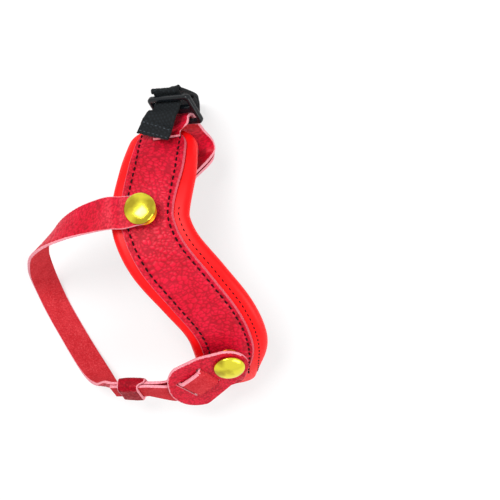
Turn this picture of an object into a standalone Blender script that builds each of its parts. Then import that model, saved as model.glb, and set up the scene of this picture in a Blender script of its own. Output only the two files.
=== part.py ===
import math

import bmesh
import bpy
from mathutils import Matrix, Vector

# A leather hand grip strap, lying on a flat surface with its outer face up.
# Sizes are millimetres and MM turns them into metres.
MM = 0.001
GAP = 0.3

# The pad follows an arch: "a" runs across the arch, "w" along its curve and "n" out from the pad's top.
ARCH_RADIUS = 74.0
ARCH_TOP = 58.0
ARCH_TURN = math.radians(8.6)

PAD_LENGTH_POINTS = [(14.5, -62.0), (12.4, -54.0), (8.7, -38.0), (3.5, -20.0), (2.8, -10.0), (7.0, 4.0),
                     (17.5, 22.0), (26.0, 38.5), (29.2, 54.0), (27.6, 72.0), (25.0, 96.5)]
PAD_HALF_WIDTH = 17.9
PAD_THICKNESS = 6.0
PAD_EDGE_ROUND = 2.8
PAD_TOP_NARROWING = 2.0
PAD_BOTTOM_NARROWING = 4.6
PAD_END_ROUND = 9.0

LINING_THICKNESS = 1.2
LINING_MARGIN = 2.6
LINING_END_MARGIN = 6.0
PANEL_THICKNESS = 1.4
PANEL_LEFT_MARGIN = 4.9
PANEL_RIGHT_MARGIN = 6.9
PANEL_TOP_MARGIN = 2.5
PANEL_BOTTOM_MARGIN = 8.0

LEATHER = 1.4
STRAP_WIDTH = 15.0
TAIL_WIDTH = 12.5

SNAP_CAP_RADIUS = 7.3
SNAP_CAP_HEIGHT = 3.1
SNAP_CAP_RIM = 0.9
SNAP_BARREL_RADIUS = 2.1
SNAP_HOLE_CLEARANCE = 0.4
SNAP_SOCKET_RADIUS = 6.2
SNAP_SOCKET_HEIGHT = 2.95
SNAP_SOCKET_PLATE = 0.7
SNAP_STUD_FLANGE = 5.6
SNAP_STUD_FLANGE_HEIGHT = 0.7
SNAP_STUD_RADIUS = 3.0
SNAP_STUD_HEIGHT = 2.9
SNAP_POST_RADIUS = 1.6
SNAP_POST_FLANGE = 5.0
SNAP_POST_FLANGE_HEIGHT = 0.8
SNAP_SEAT = 0.4
UPPER_SNAP_AT = (0.4, -16.5)
LOWER_SNAP_AT = (27.4, 59.0)

TAB_SMALL_ROUND = 9.0
TAB_BIG_ROUND = 14.0
TAB_BIG_CENTRE = (-16.0, -8.0)
SLOT_TURN = math.radians(38.3)
SLOT_LENGTH_CLEARANCE = 0.8
SLOT_SIDE_SHIFT = 2.8
WEB_START = -12.6
WEB_LENGTH = 9.7
FOLD_SLOT = 2.8
TAIL_SLOT = 3.6

KEEPER_CENTRE = (-9.2, -66.1, 27.0)
KEEPER_AXIS = (0.985, 0.03, 0.17)
KEEPER_WIDTH_AXIS = (-0.2, 0.45, 0.87)
KEEPER_LENGTH = 13.0
KEEPER_WALL = 1.3

BUCKLE_CENTRE = (11.1, 64.5, 43.0)
BUCKLE_BAR_AXIS = (0.816, -0.012, 0.578)
BUCKLE_DOWN_AXIS = (0.422, -0.672, -0.609)
BUCKLE_LENGTH = 24.4
BUCKLE_HEIGHT = 16.8
BUCKLE_THICKNESS = 2.6
BUCKLE_RAIL = 2.3
BUCKLE_BAR = 2.5
BUCKLE_MIDDLE_BAR = 3.9
BUCKLE_MIDDLE_SHIFT = -0.2
BUCKLE_ROUND = 2.4

WEBBING_WIDTH = 15.0
WEBBING_THICKNESS = 1.3
WEBBING_SHIFT = -2.1
LUG_LOOP_RADIUS = 4.6
LUG_LOOP_AT = (13.0, 68.6)

LOOP_WIDTH = 12.6
LOOP_RADIUS = 3.3
LOOP_SHIFT = -0.5
LOOP_START = (14.7, -53.0)
LOOP_REAR_AXIS = (0.572, 0.178, -0.80)
LOOP_STEP = 2.4
UNDER_WIDTH = 8.5
UNDER_START = 0.52

TONGUE_WIDTH = 16.0
TONGUE_REACH = 28.0
TONGUE_CENTRE = 25.5
TONGUE_BEND = 62.6
EYELET_RADIUS = 6.2
EYELET_BORE = 3.4
EYELET_WALL = 0.9
EYELET_FLANGE = 0.6
FLOOR_CLEARANCE = 0.05

LEATHER_STEP = 3.2
PAD_STEP = 4.4
TURNED_SEGMENTS = 22


def clear_scene():
    for thing in list(bpy.data.objects):
        bpy.data.objects.remove(thing, do_unlink=True)


# Directions and places on the arch

def across():
    return Vector((math.cos(ARCH_TURN), math.sin(ARCH_TURN), 0.0))


def down():
    return Vector((math.sin(ARCH_TURN), -math.cos(ARCH_TURN), 0.0))


def arch_point(a, w, n=0.0):
    turn = w / ARCH_RADIUS
    radius = ARCH_RADIUS + n
    along = radius * math.sin(turn)
    height = ARCH_TOP + radius * math.cos(turn) - ARCH_RADIUS
    return across() * a + down() * along + Vector((0, 0, height))


def arch_normal(w):
    turn = w / ARCH_RADIUS
    return down() * math.sin(turn) + Vector((0, 0, math.cos(turn)))


def arch_slope(w):
    turn = w / ARCH_RADIUS
    return down() * math.cos(turn) - Vector((0, 0, math.sin(turn)))


# Smooth curves through chosen points

def curve_through(points, step):
    """Points about `step` apart on a smooth curve through `points`."""
    ends = [points[0] * 2 - points[1]] + list(points) + [points[-1] * 2 - points[-2]]
    found = []
    for i in range(1, len(ends) - 2):
        before, start, end, after = ends[i - 1:i + 3]
        count = max(1, math.ceil((end - start).length / step))
        for k in range(count):
            t = k / count
            found.append(0.5 * (start * 2 + (end - before) * t
                                + (before * 2 - start * 5 + end * 4 - after) * t ** 2
                                + (start * 3 - before - end * 3 + after) * t ** 3))
    found.append(points[-1].copy())
    return found


def lengths_along(points):
    total = [0.0]
    for first, second in zip(points, points[1:]):
        total.append(total[-1] + (second - first).length)
    return total


def tangents_of(points):
    found = []
    for i in range(len(points)):
        before = points[max(i - 1, 0)]
        after = points[min(i + 1, len(points) - 1)]
        found.append((after - before).normalized())
    return found


# Meshes

def loft(name, rings):
    """A closed body through rings of the same number of points, its two ends filled."""
    mesh = bmesh.new()
    rows = [[mesh.verts.new(point * MM) for point in ring] for ring in rings]
    count = len(rings[0])
    for first, second in zip(rows, rows[1:]):
        for i in range(count):
            j = (i + 1) % count
            mesh.faces.new((first[i], first[j], second[j], second[i]))
    mesh.faces.new(list(reversed(rows[0])))
    mesh.faces.new(rows[-1])
    return finish_mesh(name, mesh)


def finish_mesh(name, mesh):
    bmesh.ops.recalc_face_normals(mesh, faces=mesh.faces)
    if mesh.calc_volume(signed=True) < 0:
        bmesh.ops.reverse_faces(mesh, faces=mesh.faces)
    data = bpy.data.meshes.new(name)
    mesh.to_mesh(data)
    mesh.free()
    data.shade_smooth()
    data.set_sharp_from_angle(angle=math.radians(35))
    thing = bpy.data.objects.new(name, data)
    bpy.context.scene.collection.objects.link(thing)
    return thing


def strap_section(width, thickness):
    """Corner points of a flat strap's section as (across, out), its corners slightly cut."""
    half = width / 2
    out = thickness / 2
    trim = min(thickness * 0.22, half * 0.3)
    return [(-half, -out + trim), (-half + trim, -out), (half - trim, -out), (half, -out + trim),
            (half, out - trim), (half - trim, out), (-half + trim, out), (-half, out - trim)]


def strap_frames(stations, step=LEATHER_STEP, square=True):
    """Frames (point, width direction, outward direction) along a strap, from stations of (point, width hint)."""
    points = curve_through([Vector(point) for point, hint in stations], step)
    hints = curve_through([Vector(hint).normalized() for point, hint in stations], 100.0)
    knots = [Vector(point) for point, hint in stations]
    frames = []
    tangents = tangents_of(points)
    counts = [max(1, math.ceil((b - a).length / step)) for a, b in zip(knots, knots[1:])]
    index = 0
    for piece, count in enumerate(counts):
        for k in range(count):
            hint = hints[piece].lerp(hints[piece + 1], k / count)
            frames.append(frame_at(points[index], tangents[index], hint, square))
            index += 1
    frames.append(frame_at(points[-1], tangents[-1], hints[-1], square))
    return frames


def frame_at(point, tangent, hint, square):
    """A frame whose width runs along the hint, turned square to the strap's way where asked."""
    width = (hint - tangent * hint.dot(tangent)).normalized() if square else hint.normalized()
    return point, width, tangent.cross(width).normalized()


def strap(name, frames, width_at, thickness, shift=0.0):
    """A flat strap along frames; width_at takes the length from the start and the whole length."""
    lengths = lengths_along([frame[0] for frame in frames])
    rings = []
    for (point, width, out), length in zip(frames, lengths):
        section = strap_section(width_at(length, lengths[-1]), thickness)
        rings.append([point + width * x + out * (y + shift) for x, y in section])
    return loft(name, rings)


def cutter(thing):
    thing.hide_render = True
    thing.display_type = 'WIRE'
    return thing


def cut(thing, tool):
    boolean = thing.modifiers.new("Cut " + tool.name, 'BOOLEAN')
    boolean.operation = 'DIFFERENCE'
    boolean.solver = 'EXACT'
    boolean.object = tool


def turned(name, profile, centre, axis, segments=TURNED_SEGMENTS):
    """A body turned round an axis from (radius, height) points; radius 0 closes an end."""
    turn = Vector((0, 0, 1)).rotation_difference(axis)
    mesh = bmesh.new()
    rows = []
    for radius, height in profile:
        if radius == 0:
            rows.append([mesh.verts.new((centre + axis * height) * MM)])
            continue
        row = []
        for k in range(segments):
            angle = 2 * math.pi * k / segments
            spot = Vector((radius * math.cos(angle), radius * math.sin(angle), height))
            row.append(mesh.verts.new((centre + turn @ spot) * MM))
        rows.append(row)
    pairs = list(zip(rows, rows[1:]))
    if profile[0][0] != 0:
        pairs.append((rows[-1], rows[0]))
    for first, second in pairs:
        for k in range(segments):
            j = (k + 1) % segments
            corners = [first[k % len(first)], first[j % len(first)], second[j % len(second)], second[k % len(second)]]
            mesh.faces.new(list(dict.fromkeys(corners)))
    return finish_mesh(name, mesh)


def pin_cutter(name, centre, axis, radius, low, high):
    return cutter(turned(name, [(0, low), (radius, low), (radius, high), (0, high)], centre, axis))


# Materials

def material(name, colour, roughness, metallic=0.0):
    made = bpy.data.materials.new(name)
    made.use_nodes = True
    shader = made.node_tree.nodes["Principled BSDF"]
    shader.inputs["Base Color"].default_value = (*colour, 1.0)
    shader.inputs["Roughness"].default_value = roughness
    shader.inputs["Metallic"].default_value = metallic
    return made


def paint(thing, finish):
    thing.data.materials.append(finish)
    return thing


# The pad, its lining and its panel

def pad_line(step):
    return curve_through([Vector((a, w, 0)) for a, w in PAD_LENGTH_POINTS], step)


def ease(low, high, value):
    t = min(max((value - low) / (high - low), 0.0), 1.0)
    return t * t * (3 - 2 * t)


def pad_half_width(w):
    top = PAD_LENGTH_POINTS[0][1]
    bottom = PAD_LENGTH_POINTS[-1][1]
    narrow_top = PAD_TOP_NARROWING * (1 - ease(top, top + 26, w))
    narrow_bottom = PAD_BOTTOM_NARROWING * ease(bottom - 44, bottom - 8, w)
    return PAD_HALF_WIDTH - narrow_top - narrow_bottom


def end_share(distance, round_length):
    """Share of the full width at a distance from a rounded end."""
    if distance >= round_length:
        return 1.0
    t = 1 - distance / round_length
    return math.sqrt(max(1 - t * t, 0.0))


def layer_on_pad(name, left_margin, right_margin, start_margin, end_margin, low, high, edge_round, arcs=1, spans=4):
    """A layer that follows the pad's outline at a margin, from low to high above the pad's top."""
    line = pad_line(PAD_STEP / 2)
    lengths = lengths_along(line)
    spots = end_spots(lengths[-1], start_margin, end_margin, PAD_STEP)
    rings = []
    for spot in spots:
        centre, tangent = line_at(line, lengths, spot)
        side = Vector((-tangent.y, tangent.x, 0))
        half = pad_half_width(centre.y)
        inside = min(spot - start_margin, lengths[-1] - end_margin - spot)
        share = end_share(inside + 0.25, PAD_END_ROUND)
        body = half - PAD_END_ROUND
        left = body - left_margin + PAD_END_ROUND * share
        right = body - right_margin + PAD_END_ROUND * share
        rings.append([arch_point(centre.x + side.x * x, centre.y + side.y * x, n)
                      for x, n in layer_section(left, right, low, high, edge_round, arcs, spans)])
    return loft(name, rings)


def end_spots(length, start_margin, end_margin, step):
    """Lengths for sections, close together at the rounded ends."""
    start = start_margin
    end = length - end_margin
    near = [0.0, 0.6, 1.8, 4.0, 6.8]
    count = math.ceil((end - start - 2 * PAD_END_ROUND) / step)
    middle = [start + PAD_END_ROUND + (end - start - 2 * PAD_END_ROUND) * k / count for k in range(count + 1)]
    return [start + x for x in near] + middle + [end - x for x in reversed(near)]


def line_at(line, lengths, spot):
    index = 0
    while index < len(lengths) - 2 and lengths[index + 1] < spot:
        index += 1
    share = (spot - lengths[index]) / (lengths[index + 1] - lengths[index])
    here = line[index].lerp(line[index + 1], share)
    tangents = tangents_of(line)
    return here, tangents[index].lerp(tangents[index + 1], share).normalized()


def layer_section(left, right, low, high, edge_round, arcs, spans):
    """Section points (across, height) of a flat layer with rounded edges. Across is positive to the left."""
    points = []
    corners = [(-right + edge_round, low + edge_round, 180), (left - edge_round, low + edge_round, 270),
               (left - edge_round, high - edge_round, 0), (-right + edge_round, high - edge_round, 90)]
    for index, (x, n, start) in enumerate(corners):
        for k in range(arcs + 1):
            angle = math.radians(start + 90 * k / arcs)
            points.append((x + edge_round * math.cos(angle), n + edge_round * math.sin(angle)))
        if index in (0, 2):
            goal = corners[index + 1]
            level = low if index == 0 else high
            for k in range(1, spans):
                points.append((x + (goal[0] - x) * k / spans, level))
    return points


def make_pad():
    return layer_on_pad("hand_pad", 0, 0, 0, 0, -PAD_THICKNESS, 0, PAD_EDGE_ROUND, 3, 5)


def lining_top():
    return -PAD_THICKNESS - GAP


def lining_bottom():
    return lining_top() - LINING_THICKNESS


def make_lining():
    return layer_on_pad("pad_lining", LINING_MARGIN, LINING_MARGIN, LINING_MARGIN, LINING_END_MARGIN,
                        lining_bottom(), lining_top(), LINING_THICKNESS * 0.4)


def panel_top():
    return GAP + PANEL_THICKNESS


def make_panel():
    return layer_on_pad("grain_panel", PANEL_LEFT_MARGIN, PANEL_RIGHT_MARGIN, PANEL_TOP_MARGIN,
                        PANEL_BOTTOM_MARGIN, GAP, panel_top(), 0.25)


# Press snaps: heights are along the snap's axis, from the pad's top

def snap_levels():
    stud_low = panel_top() + SNAP_SEAT
    stud_high = stud_low + SNAP_STUD_HEIGHT
    socket_low = stud_low + SNAP_STUD_FLANGE_HEIGHT + GAP
    socket_high = socket_low + SNAP_SOCKET_HEIGHT
    strap_low = socket_high + GAP
    return {"stud_low": stud_low, "stud_high": stud_high, "socket_low": socket_low, "socket_high": socket_high,
            "strap_low": strap_low, "strap_middle": strap_low + LEATHER / 2,
            "cap_low": strap_low + LEATHER + GAP}


def make_snap(prefix, spot, brass, steel):
    a, w = spot
    centre = arch_point(a, w)
    axis = arch_normal(w)
    level = snap_levels()
    hole = SNAP_BARREL_RADIUS + SNAP_HOLE_CLEARANCE
    cap = level["cap_low"]
    barrel_low = level["socket_high"] - SNAP_SOCKET_PLATE + GAP
    dome = [(SNAP_CAP_RADIUS * math.cos(math.radians(x)),
             cap + SNAP_CAP_RIM + (SNAP_CAP_HEIGHT - SNAP_CAP_RIM) * math.sin(math.radians(x)))
            for x in range(0, 90, 18)]
    cap_profile = [(0, barrel_low), (SNAP_BARREL_RADIUS, barrel_low), (SNAP_BARREL_RADIUS, cap),
                   (SNAP_CAP_RADIUS - 0.5, cap), (SNAP_CAP_RADIUS, cap + 0.4)] + dome + [(0, cap + SNAP_CAP_HEIGHT)]
    paint(turned(prefix + "_snap_cap", cap_profile, centre, axis, 30), brass)
    inner = SNAP_STUD_RADIUS + GAP + 0.1
    low = level["socket_low"]
    high = level["socket_high"]
    socket_profile = [(SNAP_SOCKET_RADIUS, low), (SNAP_SOCKET_RADIUS, high - 0.6), (SNAP_SOCKET_RADIUS - 0.8, high),
                      (hole, high), (hole, high - SNAP_SOCKET_PLATE), (inner, high - SNAP_SOCKET_PLATE), (inner, low)]
    paint(turned(prefix + "_snap_socket", socket_profile, centre, axis), brass)
    low = level["stud_low"]
    high = level["stud_high"]
    flange = low + SNAP_STUD_FLANGE_HEIGHT
    bore = SNAP_POST_RADIUS + GAP
    neck = SNAP_STUD_RADIUS - 0.5
    stud_profile = [(SNAP_STUD_FLANGE, low), (SNAP_STUD_FLANGE, flange), (neck, flange), (neck, flange + 0.3),
                    (SNAP_STUD_RADIUS, flange + 0.9), (SNAP_STUD_RADIUS, high - 0.6), (neck, high), (bore, high),
                    (bore, low)]
    paint(turned(prefix + "_snap_stud", stud_profile, centre, axis), steel)
    seat = lining_bottom() - SNAP_SEAT - 0.2
    post_profile = [(0, seat - SNAP_POST_FLANGE_HEIGHT), (SNAP_POST_FLANGE, seat - SNAP_POST_FLANGE_HEIGHT),
                    (SNAP_POST_FLANGE, seat), (SNAP_POST_RADIUS, seat), (SNAP_POST_RADIUS, high - GAP), (0, high - GAP)]
    paint(turned(prefix + "_snap_post", post_profile, centre, axis), steel)


def cut_snap_holes(layers):
    for prefix, (a, w) in (("upper", UPPER_SNAP_AT), ("lower", LOWER_SNAP_AT)):
        tool = pin_cutter(prefix + "_post_hole", arch_point(a, w), arch_normal(w), SNAP_POST_RADIUS + GAP, -12, 4)
        for layer in layers:
            cut(layer, tool)


# The slotted tab: its plane touches the arch at the lower snap

def tab_point(x, y, height=0.0):
    a, w = LOWER_SNAP_AT
    middle = snap_levels()["strap_middle"]
    centre = arch_point(a, w) + arch_normal(w) * (middle + height)
    return centre + across() * x - arch_slope(w) * y


def slot_point(along, side, height=0.0):
    """A place in the tab's plane along the strap's way through the slots, and to its side."""
    c = math.cos(SLOT_TURN)
    s = math.sin(SLOT_TURN)
    return tab_point(along * c - side * s, along * s + side * c, height)


def slot_side():
    return (slot_point(0, 1) - slot_point(0, 0)).normalized()


def tab_outline():
    """Two arcs joined by their outer tangents."""
    centre = Vector(TAB_BIG_CENTRE)
    reach = centre.length
    heading = math.atan2(centre.y, centre.x)
    lean = math.acos((TAB_BIG_ROUND - TAB_SMALL_ROUND) / reach)
    points = []
    for k in range(25):
        angle = heading - lean + 2 * lean * k / 24
        points.append((centre.x + TAB_BIG_ROUND * math.cos(angle), centre.y + TAB_BIG_ROUND * math.sin(angle)))
    for k in range(17):
        angle = heading + lean + (2 * math.pi - 2 * lean) * k / 16
        points.append((TAB_SMALL_ROUND * math.cos(angle), TAB_SMALL_ROUND * math.sin(angle)))
    return points


def make_tab():
    outline = tab_outline()
    half = LEATHER / 2
    trim = 0.3
    shrink = 1 - trim / TAB_BIG_ROUND
    centre = Vector(TAB_BIG_CENTRE) / 2
    small = [((x - centre.x) * shrink + centre.x, (y - centre.y) * shrink + centre.y) for x, y in outline]
    levels = [(small, -half), (outline, -half + trim), (outline, half - trim), (small, half)]
    tab = loft("slotted_tab", [[tab_point(x, y, h) for x, y in ring] for ring, h in levels])
    length = TAIL_WIDTH / 2 + SLOT_LENGTH_CLEARANCE
    for label, start, end in (("fold_slot", WEB_START, WEB_START + FOLD_SLOT),
                              ("tail_slot", WEB_START - WEB_LENGTH - TAIL_SLOT, WEB_START - WEB_LENGTH)):
        corners = [(start, -length), (end, -length), (end, length), (start, length)]
        rings = [[slot_point(x, SLOT_SIDE_SHIFT + y, h) for x, y in corners] for h in (-3 * half, 3 * half)]
        cut(tab, cutter(loft(label, rings)))
    a, w = LOWER_SNAP_AT
    cut(tab, pin_cutter("tab_snap_hole", arch_point(a, w), arch_normal(w), SNAP_BARREL_RADIUS + SNAP_HOLE_CLEARANCE,
                        4, 10))
    return tab


# The wrist strap and its keeper

def keeper_axes():
    along = Vector(KEEPER_AXIS).normalized()
    wide = Vector(KEEPER_WIDTH_AXIS)
    wide = (wide - along * wide.dot(along)).normalized()
    return along, wide, along.cross(wide)


def layer_step():
    return (LEATHER + GAP) / 2


def keeper_station(distance, layer):
    """A station inside the keeper; layer is -1 for the strap and 1 for its tail."""
    along, wide, out = keeper_axes()
    return Vector(KEEPER_CENTRE) + along * distance + out * layer * layer_step(), wide


def strap_start_stations():
    a, w = UPPER_SNAP_AT
    axis = arch_normal(w)
    centre = arch_point(a, w) + axis * snap_levels()["strap_middle"]
    heading = Vector((-1.0, -0.12, 0.0))
    heading = (heading - axis * heading.dot(axis)).normalized()
    wide = axis.cross(heading)
    return [(centre + heading * x, wide) for x in (-STRAP_WIDTH / 2, -3.0, 3.0, 9.0)]


WRIST_STATIONS = [((-18.0, 16.2, 62.0), (0.10, -0.97, 0.24)), ((-28.8, 13.4, 59.8), (0.12, -0.86, 0.50)),
                  ((-38.6, 9.5, 56.0), (0.10, -0.64, 0.76)), ((-46.0, 5.2, 50.0), (-0.10, -0.42, 0.90)),
                  ((-51.8, 0.4, 40.5), (-0.36, -0.38, 0.85)), ((-55.0, -5.0, 27.0), (-0.62, -0.62, 0.47)),
                  ((-55.8, -11.0, 14.0), (-0.80, -0.58, 0.15)), ((-54.2, -19.0, 4.4), (-0.85, -0.53, 0.0)),
                  ((-49.8, -29.5, 0.8), (-0.85, -0.53, 0.0)), ((-42.4, -42.5, 0.8), (-0.85, -0.53, 0.0)),
                  ((-35.0, -54.0, 3.4), (-0.82, -0.52, 0.20)), ((-28.8, -61.2, 9.6), (-0.70, -0.38, 0.58)),
                  ((-23.6, -65.2, 17.0), (-0.50, -0.02, 0.86))]


def fold_stations():
    """The strap under the tab, round the web between the slots and down through the second slot."""
    side = slot_side()
    radius = LEATHER + GAP
    shift = SLOT_SIDE_SHIFT
    tail = -radius
    main = 2 * tail
    found = [(slot_point(-33.0, shift + 3.4, main - 0.7), side), (slot_point(-26.0, shift + 2.2, main), side),
             (slot_point(-20.5, shift + 1.0, main + 0.5), side), (slot_point(-16.0, shift + 0.2, tail - 0.1), side)]
    for angle in (-90, -45, 0, 45, 90):
        turn = math.radians(angle)
        found.append((slot_point(WEB_START + radius * math.cos(turn), shift, radius * math.sin(turn)), side))
    middle = WEB_START - WEB_LENGTH - TAIL_SLOT / 2
    found += [(slot_point(-16.6, shift, radius + 0.15), side), (slot_point(middle + 3.6, shift, radius), side),
              (slot_point(middle + 1.0, shift, 1.3), side), (slot_point(middle - 1.0, shift, -1.3), side),
              (slot_point(middle - 3.6, shift, tail - 0.05), side), (slot_point(-32.5, shift, tail - 0.7), side)]
    return found


def wrist_stations():
    stations = strap_start_stations() + WRIST_STATIONS
    stations += [keeper_station(x, -1) for x in (-10.0, -5.0, 0.0, 5.0, 8.0)]
    stations += fold_stations()
    stations += [keeper_station(x, 1) for x in (8.0, 5.0, 0.0, -5.0, -10.5)]
    return stations


def wrist_width(length, whole):
    full = STRAP_WIDTH + (TAIL_WIDTH - STRAP_WIDTH) * ease(30, 110, length)
    return full * end_share(length + 0.15, STRAP_WIDTH / 2) if length < STRAP_WIDTH / 2 else full


def make_wrist_strap():
    made = strap("wrist_strap", strap_frames(wrist_stations()), wrist_width, LEATHER)
    a, w = UPPER_SNAP_AT
    cut(made, pin_cutter("strap_snap_hole", arch_point(a, w), arch_normal(w),
                         SNAP_BARREL_RADIUS + SNAP_HOLE_CLEARANCE, 4, 10))
    return made


def rounded_ring(half_width, half_thickness, corner, arcs=4):
    points = []
    for x, y, start in ((1, 1, 0), (-1, 1, 90), (-1, -1, 180), (1, -1, 270)):
        for k in range(arcs + 1):
            angle = math.radians(start + 90 * k / arcs)
            points.append((x * (half_width - corner) + corner * math.cos(angle),
                           y * (half_thickness - corner) + corner * math.sin(angle)))
    return points


def make_keeper():
    along, wide, out = keeper_axes()
    half_width = TAIL_WIDTH / 2 + 2 * GAP
    half_thickness = layer_step() + LEATHER / 2 + GAP
    mesh = bmesh.new()
    rows = []
    for wall, side in ((0.0, 1), (KEEPER_WALL, 1), (KEEPER_WALL, -1), (0.0, -1)):
        ring = rounded_ring(half_width + wall, half_thickness + wall, 1.2 + wall)
        rows.append([mesh.verts.new((Vector(KEEPER_CENTRE) + along * side * KEEPER_LENGTH / 2
                                     + wide * x + out * y) * MM) for x, y in ring])
    for index, first in enumerate(rows):
        second = rows[(index + 1) % 4]
        for k in range(len(first)):
            j = (k + 1) % len(first)
            mesh.faces.new((first[k], first[j], second[j], second[k]))
    return finish_mesh("strap_keeper", mesh)


# The buckle, its webbing and the pad's end loop

def buckle_axes():
    bar = Vector(BUCKLE_BAR_AXIS).normalized()
    lower = Vector(BUCKLE_DOWN_AXIS)
    lower = (lower - bar * lower.dot(bar)).normalized()
    return bar, lower, lower.cross(bar).normalized()


def buckle_point(p, q, m=0.0):
    bar, lower, face = buckle_axes()
    return Vector(BUCKLE_CENTRE) + bar * p + lower * q + face * m


def buckle_slots():
    """Where the two slots start and end, down the buckle."""
    top = -BUCKLE_HEIGHT / 2 + BUCKLE_BAR
    bottom = BUCKLE_HEIGHT / 2 - BUCKLE_BAR
    return ((top, BUCKLE_MIDDLE_SHIFT - BUCKLE_MIDDLE_BAR / 2), (BUCKLE_MIDDLE_SHIFT + BUCKLE_MIDDLE_BAR / 2, bottom))


def plate_ring(low_p, high_p, low_q, high_q, corner, m, arcs=4):
    centre_p = (low_p + high_p) / 2
    centre_q = (low_q + high_q) / 2
    ring = rounded_ring((high_p - low_p) / 2, (high_q - low_q) / 2, corner, arcs)
    return [buckle_point(centre_p + x, centre_q + y, m) for x, y in ring]


def make_buckle():
    half_p = BUCKLE_LENGTH / 2
    half_q = BUCKLE_HEIGHT / 2
    half_m = BUCKLE_THICKNESS / 2
    trim = 0.7
    rings = []
    for inset, m in ((trim, -half_m), (0.2, -half_m + 0.3), (0, -half_m + trim), (0, half_m - trim),
                     (0.2, half_m - 0.3), (trim, half_m)):
        rings.append(plate_ring(-half_p + inset, half_p - inset, -half_q + inset, half_q - inset,
                                BUCKLE_ROUND - inset, m))
    buckle = loft("tri_glide", rings)
    reach = half_p - BUCKLE_RAIL
    for index, (low, high) in enumerate(buckle_slots()):
        tool = loft("buckle_slot_%d" % index, [plate_ring(-reach, reach, low, high, 0.8, m) for m in (-4, 4)])
        cut(buckle, cutter(tool))
    return buckle


def webbing_stations():
    """The tail first, then through the top slot, down behind the buckle and round the lug's loop."""
    bar = buckle_axes()[0]
    level = Vector((1.0, 0.0, 0.0))
    p = WEBBING_SHIFT
    low, high = buckle_slots()[0]
    middle = (low + high) / 2
    top = -BUCKLE_HEIGHT / 2
    floor = WEBBING_THICKNESS / 2 + FLOOR_CLEARANCE
    x, y = LUG_LOOP_AT
    r = LUG_LOOP_RADIUS
    return [((0.9, 52.3, 44.4), (0.93, -0.22, 0.25)), ((2.2, 55.0, 45.3), (0.95, -0.14, 0.27)),
            ((3.6, 58.4, 46.3), (0.95, -0.06, 0.30)), ((5.4, 61.8, 46.5), (0.90, 0.0, 0.42)),
            (buckle_point(p, middle + 1.0, 2.4), bar), (buckle_point(p, middle, 0.4), bar),
            (buckle_point(p, middle - 0.7, -1.6), bar), (buckle_point(p, top + 1.4, -2.9), bar),
            (buckle_point(p, top - 1.0, -3.8), bar), ((11.2, 73.6, 34.0), (0.93, 0.0, 0.36)),
            ((x, y + r + 0.6, 22.0), level), ((x, y + r, 10.0), level),
            ((x, y + r, floor + r), level), ((x, y + r * 0.7, floor + r * 0.3), level),
            ((x, y, floor), level), ((x, y - r * 0.7, floor + r * 0.3), level),
            ((x, y - r, floor + r), level), ((x, y - r + 0.6, 12.0), level),
            ((x, y + r - 2.6, 21.0), level), ((11.7, 72.6, 30.0), (0.95, 0.0, 0.3))]


def make_webbing():
    frames = strap_frames(webbing_stations())
    return strap("lug_webbing", frames, lambda length, whole: WEBBING_WIDTH, WEBBING_THICKNESS)


def loop_frames():
    """The pad's end loop: off the panel, round the buckle's lower bar, down and back under the pad."""
    bar = buckle_axes()[0]
    rear = Vector(LOOP_REAR_AXIS)
    rear = (rear - bar * rear.dot(bar)).normalized()
    up = bar.cross(rear)
    centre = buckle_point(LOOP_SHIFT, BUCKLE_HEIGHT / 2 - BUCKLE_BAR / 2)
    front = centre - rear * LOOP_RADIUS
    over = panel_top() + GAP + LEATHER / 2
    a, w = LOOP_START
    lift = arch_point(a + 0.5, w - 2.6, over + 0.5)
    stations = [(arch_point(a, w, over + 0.1), across()), (lift, across()),
                (lift.lerp(front, 0.5) + Vector((0, 0, 0.3)), across() + bar)]
    for angle in (0, 45, 90, 135, 180):
        turn = math.radians(angle)
        stations.append((centre - rear * LOOP_RADIUS * math.cos(turn) + up * LOOP_RADIUS * math.sin(turn), bar))
    under = lining_bottom() - 2 * GAP - LEATHER * 1.5
    stations += [((19.0, 56.0, 29.8), bar), ((22.5, 50.0, 26.0), (0.93, 0.25, 0.3)),
                 ((23.6, 44.0, 27.0), (0.95, 0.3, 0.1)), (arch_point(21.0, -40.0, under - 1.4), across()),
                 (arch_point(18.5, -34.0, under), across()), (arch_point(16.5, -28.0, under), across())]
    return strap_frames(stations, LOOP_STEP, False)


def loop_width(length, whole):
    return LOOP_WIDTH + (UNDER_WIDTH - LOOP_WIDTH) * ease(0.4 * whole, 0.6 * whole, length)


def make_end_loop():
    return strap("end_loop", loop_frames(), loop_width, LEATHER)


def make_under_strap():
    frames = loop_frames()
    layer = frames[int(len(frames) * UNDER_START):-1]
    return strap("under_strap", layer, lambda length, whole: UNDER_WIDTH, LEATHER, -(LEATHER + 2 * GAP))


# The lower camera fixing

def tongue_level():
    return EYELET_FLANGE + GAP + LEATHER / 2


def make_tongue():
    n = lining_bottom() - GAP - LEATHER / 2
    base = across() * TONGUE_CENTRE
    level = tongue_level()
    stations = [arch_point(TONGUE_CENTRE, w, n) for w in (74.0, 80.0, 86.0, 90.0)]
    stations += [base + down() * (TONGUE_BEND - back) + Vector((0, 0, level + lift)) for back, lift in
                 ((0.1, 2.4), (1.2, 0.6), (3.2, 0), (8.0, 0), (TONGUE_REACH / 2, 0), (TONGUE_REACH, 0))]
    frames = strap_frames([(point, across()) for point in stations], LOOP_STEP)

    def width(length, whole):
        left = whole - length
        return TONGUE_WIDTH * end_share(left + 0.15, TONGUE_WIDTH / 2) if left < TONGUE_WIDTH / 2 else TONGUE_WIDTH

    tongue = strap("anchor_tongue", frames, width, LEATHER)
    cut(tongue, pin_cutter("tongue_hole", eyelet_centre(), Vector((0, 0, 1)), EYELET_BORE + EYELET_WALL + GAP,
                           0, level + LEATHER))
    return tongue


def eyelet_centre():
    return across() * TONGUE_CENTRE + down() * (TONGUE_BEND - TONGUE_REACH + TONGUE_WIDTH / 2 + 1.5)


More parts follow.
